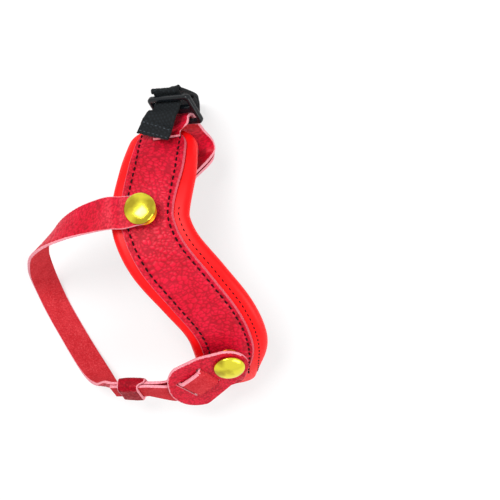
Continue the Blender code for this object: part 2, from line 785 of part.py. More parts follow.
def make_eyelet():
    high = tongue_level() + LEATHER / 2 + GAP + EYELET_FLANGE
    barrel = EYELET_BORE + EYELET_WALL
    trim = EYELET_FLANGE / 2
    profile = [(EYELET_BORE, 0), (EYELET_RADIUS, 0), (EYELET_RADIUS, EYELET_FLANGE), (barrel, EYELET_FLANGE),
               (barrel, high - EYELET_FLANGE), (EYELET_RADIUS, high - EYELET_FLANGE), (EYELET_RADIUS, high - trim),
               (EYELET_RADIUS - trim, high), (EYELET_BORE + trim, high), (EYELET_BORE, high - trim)]
    return turned("anchor_eyelet", profile, eyelet_centre(), Vector((0, 0, 1)))


def seat_on_floor():
    """Moves all pieces so that the middle of the box's underside is the origin."""
    graph = bpy.context.evaluated_depsgraph_get()
    corners = []
    for thing in bpy.data.objects:
        if thing.type == 'MESH' and not thing.hide_render:
            shape = thing.evaluated_get(graph)
            corners += [shape.matrix_world @ vertex.co for vertex in shape.data.vertices]
    low = [min(corner[i] for corner in corners) for i in range(3)]
    high = [max(corner[i] for corner in corners) for i in range(3)]
    move = Matrix.Translation((-(low[0] + high[0]) / 2, -(low[1] + high[1]) / 2, -low[2]))
    for thing in bpy.data.objects:
        if thing.type == 'MESH':
            thing.data.transform(move)


def main():
    clear_scene()
    cover = material("Smooth red cover", (1.0, 0.021, 0.024), 0.35)
    grain = material("Grained red leather", (0.68, 0.017, 0.05), 0.5)
    soft = material("Red lining", (0.4, 0.02, 0.03), 0.85)
    brass = material("Polished brass", (0.79, 0.62, 0.15), 0.15, 1.0)
    steel = material("Plated steel", (0.6, 0.45, 0.2), 0.3, 1.0)
    nylon = material("Black nylon webbing", (0.012, 0.014, 0.016), 0.8)
    plastic = material("Black acetal", (0.006, 0.007, 0.009), 0.25)
    pad = paint(make_pad(), cover)
    lining = paint(make_lining(), soft)
    panel = paint(make_panel(), grain)
    cut_snap_holes([pad, lining, panel])
    make_snap("upper", UPPER_SNAP_AT, brass, steel)
    make_snap("lower", LOWER_SNAP_AT, brass, steel)
    paint(make_wrist_strap(), grain)
    paint(make_keeper(), grain)
    paint(make_tab(), grain)
    paint(make_buckle(), plastic)
    paint(make_webbing(), nylon)
    paint(make_end_loop(), grain)
    paint(make_under_strap(), grain)
    paint(make_tongue(), grain)
    paint(make_eyelet(), brass)
    seat_on_floor()


main()
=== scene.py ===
import math

import bmesh
import bpy
import numpy as np
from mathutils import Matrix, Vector, bvhtree, geometry, noise


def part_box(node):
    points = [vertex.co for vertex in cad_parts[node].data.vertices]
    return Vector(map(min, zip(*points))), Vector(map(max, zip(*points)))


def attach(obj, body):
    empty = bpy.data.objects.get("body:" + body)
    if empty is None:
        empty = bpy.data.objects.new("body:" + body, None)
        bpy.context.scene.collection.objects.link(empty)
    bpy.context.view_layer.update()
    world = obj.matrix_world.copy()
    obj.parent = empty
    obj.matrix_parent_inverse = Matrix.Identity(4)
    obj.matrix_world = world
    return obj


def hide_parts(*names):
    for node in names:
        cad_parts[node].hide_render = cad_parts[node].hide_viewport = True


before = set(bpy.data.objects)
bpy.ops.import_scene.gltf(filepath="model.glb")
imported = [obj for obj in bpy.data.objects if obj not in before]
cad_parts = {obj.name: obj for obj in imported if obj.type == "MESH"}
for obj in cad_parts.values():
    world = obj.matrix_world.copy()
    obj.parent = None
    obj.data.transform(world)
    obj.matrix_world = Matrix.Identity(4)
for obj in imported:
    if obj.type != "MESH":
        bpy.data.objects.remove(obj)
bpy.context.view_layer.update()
print("frame loaded")

mm = 0.001  # shapes are worked out in millimetres on the strap's plan, and become metres in the mesh
gap = 0.3  # air between neighbouring pieces

# the arch that the pad is bent to: a runs across it, w along its curve, n out from the pad's top
arch = {"radius": 74.0, "top": 58.0, "turn": math.radians(8.6)}
across = Vector((math.cos(arch["turn"]), math.sin(arch["turn"]), 0.0))
down = Vector((math.sin(arch["turn"]), -math.cos(arch["turn"]), 0.0))

buckle = {
    "centre": (11.1, 64.5, 43.0), "barAxis": (0.816, -0.012, 0.578), "downAxis": (0.422, -0.672, -0.609),
    "length": 24.4, "height": 16.8, "thickness": 2.6,
    "rail": 2.3, "bar": 2.5, "middleBar": 3.9, "middleShift": -0.2, "round": 2.4, "edge": 0.85,
}
glideLow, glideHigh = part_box("tri_glide")
planShift = (glideLow + glideHigh) / 2 - Vector(buckle["centre"]) * mm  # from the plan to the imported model


def archPoint(a, w, n=0.0):
    turn = w / arch["radius"]
    radius = arch["radius"] + n
    height = arch["top"] - arch["radius"] + radius * math.cos(turn)
    return across * a + down * (radius * math.sin(turn)) + Vector((0, 0, height))


def archNormal(w):
    turn = w / arch["radius"]
    return down * math.sin(turn) + Vector((0, 0, math.cos(turn)))


def archSlope(w):
    turn = w / arch["radius"]
    return down * math.cos(turn) - Vector((0, 0, math.sin(turn)))


def ease(low, high, value):
    # 0 at low and 1 at high, which may be the smaller one
    t = min(max((value - low) / (high - low), 0.0), 1.0)
    return t * t * (3 - 2 * t)


def bell(distance, width):
    return math.exp(-(distance / width) ** 2)


def curveThrough(knots, step):
    ends = [knots[0] * 2 - knots[1]] + list(knots) + [knots[-1] * 2 - knots[-2]]
    points, places = [], []
    for i in range(1, len(ends) - 2):
        before, start, end, after = ends[i - 1:i + 3]
        count = max(1, math.ceil((end - start).length / step))
        for k in range(count):
            t = k / count
            points.append(0.5 * (start * 2 + (end - before) * t
                                 + (before * 2 - start * 5 + end * 4 - after) * t ** 2
                                 + (start * 3 - before - end * 3 + after) * t ** 3))
            places.append(i - 1 + t)  # the knot before it, and how far on
    return points + [knots[-1].copy()], places + [len(knots) - 1.0]


def lengthsAlong(points):
    total = [0.0]
    for first, second in zip(points, points[1:]):
        total.append(total[-1] + (second - first).length)
    return total


def valueAt(values, lengths, spot):
    spot = min(max(spot, 0.0), lengths[-1])
    index = min(max(int(np.searchsorted(lengths, spot)) - 1, 0), len(values) - 2)
    share = (spot - lengths[index]) / (lengths[index + 1] - lengths[index])
    return values[index] * (1 - share) + values[index + 1] * share


def squareTo(direction, axis):
    return (direction - axis * direction.dot(axis)).normalized()


def tangentsOf(points):
    last = len(points) - 1
    return [(points[min(i + 1, last)] - points[max(i - 1, 0)]).normalized() for i in range(last + 1)]


# height maps of the surfaces, in millimetres

noise.seed_set(7)  # without a seed noise_vector takes its offsets from the clock, and the grain changes each run


def noiseAt(x, y, seed):
    return noise.noise(Vector((x, y, seed)))


def pebbleAt(x, y, size, seed):
    # 0 in a crease between two pebbles of the grain, 1 on a pebble's top
    bend = noise.noise_vector(Vector((x / (size * 2.2), y / (size * 2.2), seed))) * 0.35
    near = noise.voronoi(Vector((x / size + bend.x, y / size + bend.y, seed)))[0]
    return ease(0.0, 0.36, near[1] - near[0]) * (0.8 + 0.2 * noiseAt(x * 0.4, y * 0.4, seed + 5))


def creaseAt(x, y, pitch, seed):
    # fine folds that cross a strap where it bends
    wander = noiseAt(x * 0.12, y * 0.16, seed) * 2.4 + y * 0.05
    wave = math.sin(2 * math.pi * (x + wander) / pitch)
    return -max(wave, 0.0) ** 3 * (0.55 + 0.45 * noiseAt(x * 0.3, y * 0.1, seed + 9))


# meshes

def inScene(name, data):
    made = bpy.data.objects.new(name, data)
    bpy.context.scene.collection.objects.link(made)
    return made


def meshFrom(name, points, faces, zones, grain, materials):
    data = bpy.data.meshes.new(name)
    data.from_pydata([tuple(point * mm + planShift) for point in points], [], faces)
    if grain is not None:
        data.attributes.new("grain", 'FLOAT', 'POINT').data.foreach_set("value", grain)
    for finish in materials:
        data.materials.append(finish)
    data.polygons.foreach_set("material_index", zones)
    data.validate()
    mesh = bmesh.new()
    mesh.from_mesh(data)
    bmesh.ops.recalc_face_normals(mesh, faces=mesh.faces)
    if mesh.calc_volume(signed=True) < 0:
        bmesh.ops.reverse_faces(mesh, faces=mesh.faces)
    mesh.to_mesh(data)
    mesh.free()
    data.shade_smooth()
    data.set_sharp_from_angle(angle=math.radians(50))
    return inScene(name, data)


def joined(rows):
    return [value for row in rows for value in row]


def facesBetween(rings, steps):
    # four-sided faces from each ring to the next; as many steps as rings close the body on itself
    count, faces = len(rings[0]), []
    for row in range(steps):
        first, second = row * count, (row + 1) % len(rings) * count
        for k in range(count):
            j = (k + 1) % count
            faces.append((first + k, first + j, second + j, second + k))
    return faces


def meshFromRings(name, rings, zoneRows, materials, grain=None, endZone=1):
    # a closed body through rings with the same number of points, its two ends filled
    count, steps = len(rings[0]), len(rings) - 1
    last = steps * count
    faces = facesBetween(rings, steps) + [tuple(range(count - 1, -1, -1)), tuple(range(last, last + count))]
    zones = joined(zoneRows[:steps]) + [endZone, endZone]
    return meshFrom(name, joined(rings), faces, zones, joined(grain) if grain else None, materials)


def finishPiece(piece, *nodes, slot=None):
    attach(piece, "root")
    if nodes:
        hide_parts(*nodes)
    print("made", piece.name, len(piece.data.polygons), "faces")
    return piece


# materials: each colour is an sRGB hex value

def linear(hexColour):
    shares = [int(hexColour[i:i + 2], 16) / 255 for i in (0, 2, 4)]
    return [x / 12.92 if x <= 0.04045 else ((x + 0.055) / 1.055) ** 2.4 for x in shares] + [1.0]


def addNode(tree, kind, settings=None, **sockets):
    # one node with its settings and its sockets; a socket's value is a plain value or another node's output
    node = tree.nodes.new(kind)
    for key, value in (settings or {}).items():
        setattr(node, key, value)
    for key, value in sockets.items():
        name = key.replace("_", " ")
        socket = node.inputs[int(name[2:])] if name.startswith("in") and name[2:].isdigit() else node.inputs[name]
        if isinstance(value, bpy.types.NodeSocket):
            tree.links.new(value, socket)
        else:
            socket.default_value = value
    return node


def mathOf(tree, kind, first, second=0.0):
    return addNode(tree, "ShaderNodeMath", {"operation": kind}, in0=first, in1=second).outputs[0]


def startMaterial(name, colour, roughness, **shaderValues):
    made = bpy.data.materials.new(name)
    made.use_nodes = True
    made.diffuse_color = linear(colour)
    tree = made.node_tree
    shader = tree.nodes["Principled BSDF"]
    shader.inputs["Base Color"].default_value = linear(colour)
    shader.inputs["Roughness"].default_value = roughness
    for key, value in shaderValues.items():
        shader.inputs[key.replace("_", " ")].default_value = value
    return made, tree, shader


def colourSteps(tree, factor, steps):
    ramp = addNode(tree, "ShaderNodeValToRGB", Fac=factor)
    elements = ramp.color_ramp.elements
    while len(elements) < len(steps):
        elements.new(0.5)
    for element, (place, colour) in zip(elements, steps):
        element.position = place
        element.color = linear(colour)
    return ramp.outputs["Color"]


def sourceOf(tree, source):
    # an attribute of the mesh by its name, or noise by its size in mm, its detail and its roughness
    if isinstance(source, str):
        return addNode(tree, "ShaderNodeAttribute", {"attribute_name": source}).outputs["Fac"]
    sizeInMm, detail, rough = source
    place = addNode(tree, "ShaderNodeTexCoord").outputs["Object"]
    return addNode(tree, "ShaderNodeTexNoise", Vector=place, Scale=1000.0 / sizeInMm, Detail=detail,
                   Roughness=rough).outputs["Fac"]


def makeMaterial(name, colour, roughness, tones, relief, wide=None, share=0.0, gloss=None, **shaderValues):
    # tones and wide: a source and its colour steps, mixed by share; relief: a source, its depth in mm and its
    # strength; gloss: the roughness where the tones' source is 0 and where it is 1
    made, tree, shader = startMaterial(name, colour, roughness, **shaderValues)
    source = sourceOf(tree, tones[0])
    painted = colourSteps(tree, source, tones[1])
    if wide:
        second = colourSteps(tree, sourceOf(tree, wide[0]), wide[1])
        painted = addNode(tree, "ShaderNodeMix", {"data_type": 'RGBA'}, in0=share, in6=painted,
                          in7=second).outputs[2]
    tree.links.new(painted, shader.inputs["Base Color"])
    if gloss:
        ranged = addNode(tree, "ShaderNodeMapRange", Value=source, To_Min=gloss[0], To_Max=gloss[1])
        tree.links.new(ranged.outputs["Result"], shader.inputs["Roughness"])
    height, depthInMm, strength = relief
    bump = addNode(tree, "ShaderNodeBump", Height=sourceOf(tree, height), Distance=depthInMm * mm,
                   Strength=strength)
    tree.links.new(bump.outputs["Normal"], shader.inputs["Normal"])
    return made


def grainLeather(name, shine, creaseShade, middle, pebbleHighlight, fadedLow, fadedHigh):
    # drum-dyed cowhide plated with a pebble grain: painted shade in the matt creases, painted highlight on pebble
    # tops
    return makeMaterial(name, middle, 0.42, ("grain", [(0.0, creaseShade), (0.45, middle), (1.0, pebbleHighlight)]),
                        ((0.55, 4.0, 0.7), 0.06, 0.5), ((14.0, 2.0, 0.55), [(0.35, fadedLow), (0.65, fadedHigh)]),
                        0.3, (0.6, 0.33), IOR=1.45, Specular_IOR_Level=shine)


def rawEdge(name, low, middle, high):
    # the undyed core of the hide where a knife cut it: pale, fibrous and matt
    fibres = (0.6, 4.0, 0.7)
    return makeMaterial(name, middle, 0.85, (fibres, [(0.25, low), (0.5, middle), (0.8, high)]),
                        (fibres, 0.2, 0.7), IOR=1.45)


def thread(name, colour, dark):
    # bonded polyester thread: a tight twist with a low sheen
    twist = (0.35, 2.0, 0.55)
    return makeMaterial(name, colour, 0.85, (twist, [(0.35, dark), (0.65, colour)]), (twist, 0.1, 0.8),
                        Specular_IOR_Level=0.15)


def plating(name, colour, reflectionTone, roughness):
    # stamped brass with a lacquered gold plate: mirror bright, hazy roughness marks, darker painted reflection
    # patches
    reflectionPatches = (6.5, 2.0, 0.4)
    return makeMaterial(name, colour, roughness, (reflectionPatches, [(0.4, reflectionTone), (0.58, colour)]), (reflectionPatches, 0.02, 0.3),
                        gloss=(roughness + 0.1, roughness), Metallic=1.0)


grainRed = grainLeather("cowhidePebbleGrain", 0.22, "8A0418", "C80828", "DC1036", "BC0620", "E01A3C")
# a darker, less shiny copy of the same hide, for the keeper: painted shade
grainShaded = grainLeather("cowhidePebbleGrainShaded", 0.1, "700312", "9C051C", "B00A24", "920416", "B4122A")
# the flesh side of the same hide, left napped: no shine, paler where the nap lies over
nap = (0.7, 5.0, 0.75)
suedeRed = makeMaterial(
    "cowhideFleshSideNapped", "C02C34", 0.95, (nap, [(0.3, "98141C"), (0.52, "C82C34"), (0.75, "E8686C")]),
    (nap, 0.25, 0.8), ((5.0, 2.0, 0.55), [(0.3, "B41E28"), (0.7, "D43C44")]), 0.4,
    IOR=1.45, Specular_IOR_Level=0.15)
pinkEdge = rawEdge("cowhideCutEdge", "C8606E", "E8929E", "F6BCC4")
# a near-white copy of the cut edge, for the panel's right edge: painted highlight
edgeHighlight = rawEdge("cowhideCutEdgeSkived", "F4BCC0", "FFE2E2", "FFFAF8")
# a darker copy of the cut edge, used on the panel's left edge
deepEdge = rawEdge("cowhideCutEdgeDarker", "B02C3C", "CC4C5C", "E07482")
# polyurethane-coated cloth, pressed smooth: even bright red with a soft gloss and very faint creases
coverRed = makeMaterial(
    "coatedClothPressedSmooth", "F80A10", 0.42, ((9.0, 3.0, 0.55), [(0.3, "EC060C"), (0.7, "FA1014")]),
    ((0.8, 3.0, 0.6), 0.05, 0.35), gloss=(0.38, 0.5), IOR=1.45, Specular_IOR_Level=0.25)
# brushed microfibre on the worn side: dark red, soft and without shine
brushed = (0.9, 5.0, 0.75)
liningRed = makeMaterial(
    "microfibreBrushed", "8E1A26", 0.95, (brushed, [(0.3, "74121C"), (0.7, "A42430")]), (brushed, 0.2, 0.8),
    ((12.0, 2.0, 0.55), [(0.3, "801420"), (0.7, "9C2230")]), 0.5, Sheen_Weight=0.5, Sheen_Roughness=0.5)
threadDark = thread("polyesterThreadMaroon", "34040C", "180206")
threadRed = thread("polyesterThreadDarkRed", "9C1424", "6E0814")
threadGrey = thread("polyesterThreadGrey", "4A5258", "23282C")
goldBright = plating("brassStampedGoldPlated", "E6DA40", "B2A02C", 0.12)
goldDull = plating("brassBarrelPlated", "DC8A1E", "B46A14", 0.28)
# black nylon webbing: dull ribs, painted shade between them and a painted highlight on their tops
fibre = (0.5, 4.0, 0.7)
webbingBlack = makeMaterial(
    "nylonWovenRibbed", "101417", 0.8, ("rib", [(0.0, "040505"), (0.5, "0E1214"), (1.0, "20272B")]),
    (fibre, 0.1, 0.6), (fibre, [(0.35, "0A0C0E"), (0.7, "1A1E22")]), 0.35, Specular_IOR_Level=0.2)
# black acetal, injection moulded: glossy with a faint satin ripple from the mould
satin = (3.0, 3.0, 0.55)
acetalBlack = makeMaterial(
    "acetalMoulded", "080C10", 0.24, (satin, [(0.3, "05080B"), (0.7, "0C1116")]), (satin, 0.04, 0.4),
    gloss=(0.2, 0.34), IOR=1.48, Specular_IOR_Level=0.3)
leatherSlots = [grainRed, pinkEdge, suedeRed]
keeperSlots = [grainShaded, pinkEdge, suedeRed]
print("materials made")


# the pad: an S-shaped foam body in a smooth coated cover

pad = {
    "line": [(14.5, -62.0), (12.4, -54.0), (8.7, -38.0), (3.5, -20.0), (2.8, -10.0), (7.0, 4.0),
             (17.5, 22.0), (26.0, 38.5), (29.2, 54.0), (27.6, 72.0), (25.0, 96.5)],
    "halfWidth": 17.9, "thickness": 6.0, "edgeRound": 2.8, "topNarrowing": 2.0, "bottomNarrowing": 4.6,
    "endRound": 9.0, "ringStep": 1.25, "topCount": 24, "bottomCount": 22, "arcs": 4,
    "swell": 1.0,  # how far the cover's border may puff up when it is filled
    "pressure": 4.0, "tension": 12, "bending": 1.5, "quality": 6, "frames": 20,
    "holdPast": 0.6,  # how far past the panel's edges the cover is still held
}
lining = {
    "thickness": 1.2, "margin": 2.6, "endMargin": 6.0, "step": 0.8,
    "edgeRound": 0.45, "topCount": 16, "bottomCount": 40, "arcs": 3,
}
panel = {
    "thickness": 1.4, "left": 4.9, "right": 6.9, "top": 2.5, "bottom": 8.0,
    "flare": 2.2, "flareLength": 44.0,  # how much wider its right side starts, and where that has gone
    "step": 0.42, "grainSize": 1.6, "grainDepth": 0.26, "curl": 0.6, "bevel": 0.75,
    "edgeRound": 0.3, "topCount": 64, "bottomCount": 12, "arcs": 2,
    "leftStitches": 10.0, "rightStitches": -8.4, "channel": 0.34,
}
liningLow = -pad["thickness"] - gap - lining["thickness"]  # the lining's underside, from the pad's top
padPoints = curveThrough([Vector((a, w, 0)) for a, w in pad["line"]], 1.0)[0]
padLengths = lengthsAlong(padPoints)
padTangents = tangentsOf(padPoints)
padLength = padLengths[-1]


def padHalfWidth(w):
    top, bottom = pad["line"][0][1], pad["line"][-1][1]
    narrowTop = pad["topNarrowing"] * (1 - ease(top, top + 26, w))
    narrowBottom = pad["bottomNarrowing"] * ease(bottom - 44, bottom - 8, w)
    return pad["halfWidth"] - narrowTop - narrowBottom


def endShare(distance, roundLength):
    if distance >= roundLength:
        return 1.0
    t = 1 - max(distance, 0.0) / roundLength
    return math.sqrt(max(1 - t * t, 0.0))


def padPlace(spot, side, n):
    # a place on the pad: spot along its middle line, side to its left, n out from its top
    centre = valueAt(padPoints, padLengths, spot)
    tangent = valueAt(padTangents, padLengths, spot).normalized()
    return archPoint(centre.x - tangent.y * side, centre.y + tangent.x * side, n)


def layerSpots(startMargin, endMargin, step):
    start, end = startMargin, padLength - endMargin
    near = [0.0, 0.15, 0.5, 1.1, 1.9, 2.9, 4.0, 5.2, 6.4, 7.7]
    inner = end - start - 2 * pad["endRound"]
    count = math.ceil(inner / step)
    middle = [start + pad["endRound"] + inner * k / count for k in range(count + 1)]
    return [start + x for x in near] + middle + [end - x for x in reversed(near)]


def layerRing(spot, margins, startMargin, endMargin):
    # left and right reach of a layer at a spot along the pad
    half = padHalfWidth(valueAt(padPoints, padLengths, spot).y)
    inside = min(spot - startMargin, padLength - endMargin - spot)
    reach = half - pad["endRound"] + pad["endRound"] * endShare(inside + 0.25, pad["endRound"])
    return reach - margins[0], reach - margins[1]


def slabSection(left, right, low, high, look):
    # (side, height, zone) points round a slab: zone 0 top, 1 edge, 2 underside; side is positive to the left
    edgeRound, arcs, bevel = look["edgeRound"], look["arcs"], look.get("bevel", 0.0)
    topCount, bottomCount = look["topCount"], look["bottomCount"]

    def corner(side, height, start, steps):
        turns = [math.radians(start + 90 * k / arcs) for k in steps]
        return [(side + edgeRound * math.cos(turn), height + edgeRound * math.sin(turn), 1) for turn in turns]

    level = left + right - 2 * edgeRound
    up, under, outer, inner = high - edgeRound, low + edgeRound, left - edgeRound, -right + edgeRound
    points = [(outer - (level - bevel) * k / topCount, high, 0) for k in range(topCount + 1)]
    points += corner(inner + bevel, up, 90, range(1, arcs + 1)) + corner(inner, under, 180, range(arcs + 1))
    points += [(inner + level * k / bottomCount, low, 2) for k in range(1, bottomCount + 1)]
    return points + corner(outer, under, 270, range(1, arcs + 1)) + corner(outer, up, 0, range(arcs))


def makePad():
    spots = layerSpots(0.0, 0.0, pad["ringStep"])
    reaches = [layerRing(spot, (0, 0), 0.0, 0.0) for spot in spots]
    sections = [slabSection(left, right, -pad["thickness"], 0.0, pad) for left, right in reaches]
    rings = [[padPlace(spot, side, n) for side, n, zone in section] for spot, section in zip(spots, sections)]
    piece = meshFromRings("handPad", rings, [[0] * len(rings[0])] * len(rings), [coverRed], None, 0)
    held = piece.vertex_groups.new(name="held")
    for row, (spot, (left, right), section) in enumerate(zip(spots, reaches, sections)):
        ends = min(spot - panel["top"], padLength - panel["bottom"] - spot)
        most, least = left - panel["left"] + pad["holdPast"], -right + panel["right"] - pad["holdPast"]
        for k, (side, n, zone) in enumerate(section):
            if zone == 2 or zone == 0 and least < side < most and ends > 0:  # under the lining or the panel
                held.add([row * len(section) + k], 1.0, 'REPLACE')
    puff(piece, held.name)
    smoother = piece.modifiers.new("smoother", 'SUBSURF')
    smoother.levels = smoother.render_levels = 1
    piece = applied(piece)
    return finishPiece(piece, "hand_pad", slot="smooth_cover")


def evaluatedMesh(piece):
    graph = bpy.context.evaluated_depsgraph_get()
    return bpy.data.meshes.new_from_object(piece.evaluated_get(graph), depsgraph=graph)


def applied(piece):
    # the piece as a plain mesh, with its modifiers worked in
    data = evaluatedMesh(piece)
    data.name = piece.name
    piece.modifiers.clear()
    piece.vertex_groups.clear()
    piece.data = data
    return piece


def puff(piece, heldGroup):
    # a short cloth run fills the cover; no point moves further than the cap
    before = np.array([vertex.co[:] for vertex in piece.data.vertices])
    filled = piece.modifiers.new("filled", 'CLOTH')
    cloth = filled.settings
    cloth.use_pressure = True
    cloth.uniform_pressure_force = pad["pressure"]
    cloth.vertex_group_mass = heldGroup
    cloth.quality = pad["quality"]
    cloth.tension_stiffness = pad["tension"]
    cloth.bending_stiffness = pad["bending"]
    cloth.effector_weights.gravity = 0
    filled.point_cache.frame_start = 1
    filled.point_cache.frame_end = pad["frames"]
    for step in range(1, pad["frames"] + 1):
        bpy.context.scene.frame_set(step)
    shape = piece.evaluated_get(bpy.context.evaluated_depsgraph_get()).data
    move = np.array([vertex.co[:] for vertex in shape.vertices]) - before
    length = np.linalg.norm(move, axis=1, keepdims=True)
    move *= np.minimum(1.0, pad["swell"] * mm / np.maximum(length, 1e-9))
    piece.modifiers.clear()
    piece.data.vertices.foreach_set("co", (before + move).ravel())
    piece.data.update()
    bpy.context.scene.frame_set(1)
    print("filled", piece.name, "most", round(float(length.max()) * 1000, 2), "mm")


def makeLining():
    rings = []
    for spot in layerSpots(lining["margin"], lining["endMargin"], lining["step"]):
        left, right = layerRing(spot, (lining["margin"], lining["margin"]), lining["margin"], lining["endMargin"])
        section = slabSection(left, right, liningLow, liningLow + lining["thickness"], lining)
        ring = []
        for side, n, zone in section:
            inEdge = min(left - side, side + right)
            seam = 0.3 * bell(inEdge - 2.2, 0.7) if zone == 2 else 0.0  # the edge is sewn down
            fuzz = 0.05 * noiseAt(spot * 0.8, side * 0.8, 3.0) if zone == 2 else 0.0
            ring.append(padPlace(spot, side, n + seam + fuzz))
        rings.append(ring)
    piece = meshFromRings("padLining", rings, [[0] * len(rings[0])] * len(rings), [liningRed], None, 0)
    return finishPiece(piece, "pad_lining", slot="lining")


def panelTop():
    return gap + panel["thickness"]


def makePanel():
    rings, grains, zones = [], [], None
    spots = layerSpots(panel["top"], panel["bottom"], panel["step"])
    for spot in spots:
        flare = panel["flare"] * (1 - ease(8, panel["flareLength"], spot))
        left, right = layerRing(spot, (panel["left"], panel["right"] - flare), panel["top"], panel["bottom"])
        section = slabSection(left, right, gap, panelTop(), panel)
        # the left cut edge takes the darker edge copy; the right one takes the near-white copy, a painted
        # highlight
        zones = [3 if zone == 1 and side > 0 else zone for side, n, zone in section]
        ring, heights = [], []
        for side, n, zone in section:
            lift, tone = 0.0, 0.6
            if zone == 0:
                inEdge = min(left - side, side + right)
                tone = pebbleAt(spot, side * 0.72, panel["grainSize"], 2.0)  # pebbles are wider across the strap
                lift = panel["grainDepth"] * (tone - 0.75) * ease(0.0, 0.8, inEdge)
                for row in (panel["leftStitches"], panel["rightStitches"]):
                    lift -= panel["channel"] * bell(side - row, 0.75)  # the thread pulls the hide down
                lift += 0.12 * noiseAt(spot * 0.09, side * 0.12, 1.0)
            if zone == 1:
                side += 0.12 * noiseAt(spot * 1.9, n * 2.0, 4.0)  # the knife's edge isn't quite even
            lift += panel["curl"] * ease(3.2, 0.0, side + right)  # the right edge curls up off the pad
            ring.append(padPlace(spot, side, n + lift))
            heights.append(tone)
        rings.append(ring)
        grains.append(heights)
    slots = [grainRed, edgeHighlight, suedeRed, deepEdge]
    piece = meshFromRings("grainPanel", rings, [zones] * len(rings), slots, grains)
    return finishPiece(piece, "grain_panel", slot="grain_leather")


# stitches: Geometry Nodes put one bent thread at each step of a row

stitching = {
    "pitch": 3.35, "length": 1.65, "radius": 0.43, "rise": 0.3, "dip": 0.5, "seed": 7,
    "panelStart": 7.0, "leftEnd": 14.0, "rightEnd": 21.0, "sunk": 0.05, "belowPitch": 3.9, "belowScale": 0.7,
    "borderSide": -13.2, "borderStart": 44.0, "borderEnd": 16.0, "borderPitch": 2.6, "borderScale": 0.68,
    "hemPitch": 2.2, "hemScale": 0.66, "hemReach": 6.2,
}


def startTree(name, sourceName, sockets, resultName):
    tree = bpy.data.node_groups.new(name, 'GeometryNodeTree')
    for label, kind in [(sourceName, 'Geometry')] + list(sockets.items()):
        tree.interface.new_socket(label, in_out='INPUT', socket_type='NodeSocket' + kind)
    tree.interface.new_socket(resultName, in_out='OUTPUT', socket_type='NodeSocketGeometry')
    return tree, tree.nodes.new("NodeGroupInput").outputs


def stitchTree():
    tree, given = startTree("stitchRow", "Row", {
        "Stitches": 'Int', "Stitch length": 'Float', "Thread radius": 'Float', "Rise": 'Float', "Dip": 'Float',
        "Seed": 'Int', "Thread": 'Material'}, "Stitches made")
    row = addNode(tree, "GeometryNodeMeshToCurve", Mesh=given["Row"])
    spaced = addNode(tree, "GeometryNodeResampleCurve", Curve=row.outputs["Curve"], Count=given["Stitches"])
    outward = addNode(tree, "GeometryNodeInputNamedAttribute", {"data_type": 'FLOAT_VECTOR'}, Name="outward")
    tangent = tree.nodes.new("GeometryNodeInputTangent")
    level = addNode(tree, "FunctionNodeAlignRotationToVector", {"axis": 'Z'}, Vector=outward.outputs[0])
    along = addNode(tree, "FunctionNodeAlignRotationToVector", {"axis": 'X', "pivot_axis": 'Z'},
                    Rotation=level.outputs[0], Vector=tangent.outputs[0])
    wobble = addNode(tree, "FunctionNodeRandomValue", {"data_type": 'FLOAT_VECTOR'}, in0=(-0.02, -0.03, -0.09),
                     in1=(0.02, 0.03, 0.09), Seed=given["Seed"])
    turned = addNode(tree, "FunctionNodeRotateRotation", {"rotation_space": 'LOCAL'}, in0=along.outputs[0],
                     in1=wobble.outputs[0])
    half = mathOf(tree, 'MULTIPLY', given["Stitch length"], 0.5)
    back = mathOf(tree, 'MULTIPLY', given["Stitch length"], -0.5)
    under = mathOf(tree, 'MULTIPLY', given["Dip"], -1.0)
    start = addNode(tree, "ShaderNodeCombineXYZ", X=back, Z=under)
    middle = addNode(tree, "ShaderNodeCombineXYZ", Z=given["Rise"])
    end = addNode(tree, "ShaderNodeCombineXYZ", X=half, Z=under)
    bent = addNode(tree, "GeometryNodeCurveQuadraticBezier", Resolution=7, Start=start.outputs[0],
                   Middle=middle.outputs[0], End=end.outputs[0])
    yarn = addNode(tree, "GeometryNodeCurvePrimitiveCircle", Resolution=7, Radius=given["Thread radius"])
    stitch = addNode(tree, "GeometryNodeCurveToMesh", in0=bent.outputs[0], in1=yarn.outputs[0])
    stitch.inputs["Fill Caps"].default_value = True
    placed = addNode(tree, "GeometryNodeInstanceOnPoints", Points=spaced.outputs[0], Instance=stitch.outputs[0],
                     Rotation=turned.outputs[0])
    real = addNode(tree, "GeometryNodeRealizeInstances", Geometry=placed.outputs[0])
    painted = addNode(tree, "GeometryNodeSetMaterial", Geometry=real.outputs[0], Material=given["Thread"])
    addNode(tree, "NodeGroupOutput", in0=painted.outputs[0])
    return tree


stitchRow = stitchTree()


def fromTree(name, source, tree, values):
    # runs a node tree on a source object and keeps its result as a plain mesh
    nodes = source.modifiers.new(name, 'NODES')
    nodes.node_group = tree
    sockets = {item.name: item.identifier for item in tree.interface.items_tree if item.in_out == 'INPUT'}
    for key, value in values.items():
        nodes[sockets[key]] = value
    data = evaluatedMesh(source)
    source.modifiers.clear()
    bpy.data.objects.remove(source, do_unlink=True)
    data.name = name
    data.shade_smooth()
    return inScene(name, data)


def polyline(name, points, outwards):
    data = bpy.data.meshes.new(name)
    edges = [(i, i + 1) for i in range(len(points) - 1)]
    data.from_pydata([tuple(point * mm + planShift) for point in points], edges, [])
    data.attributes.new("outward", 'FLOAT_VECTOR', 'POINT').data.foreach_set(
        "vector", joined(outwards))
    return inScene(name, data)


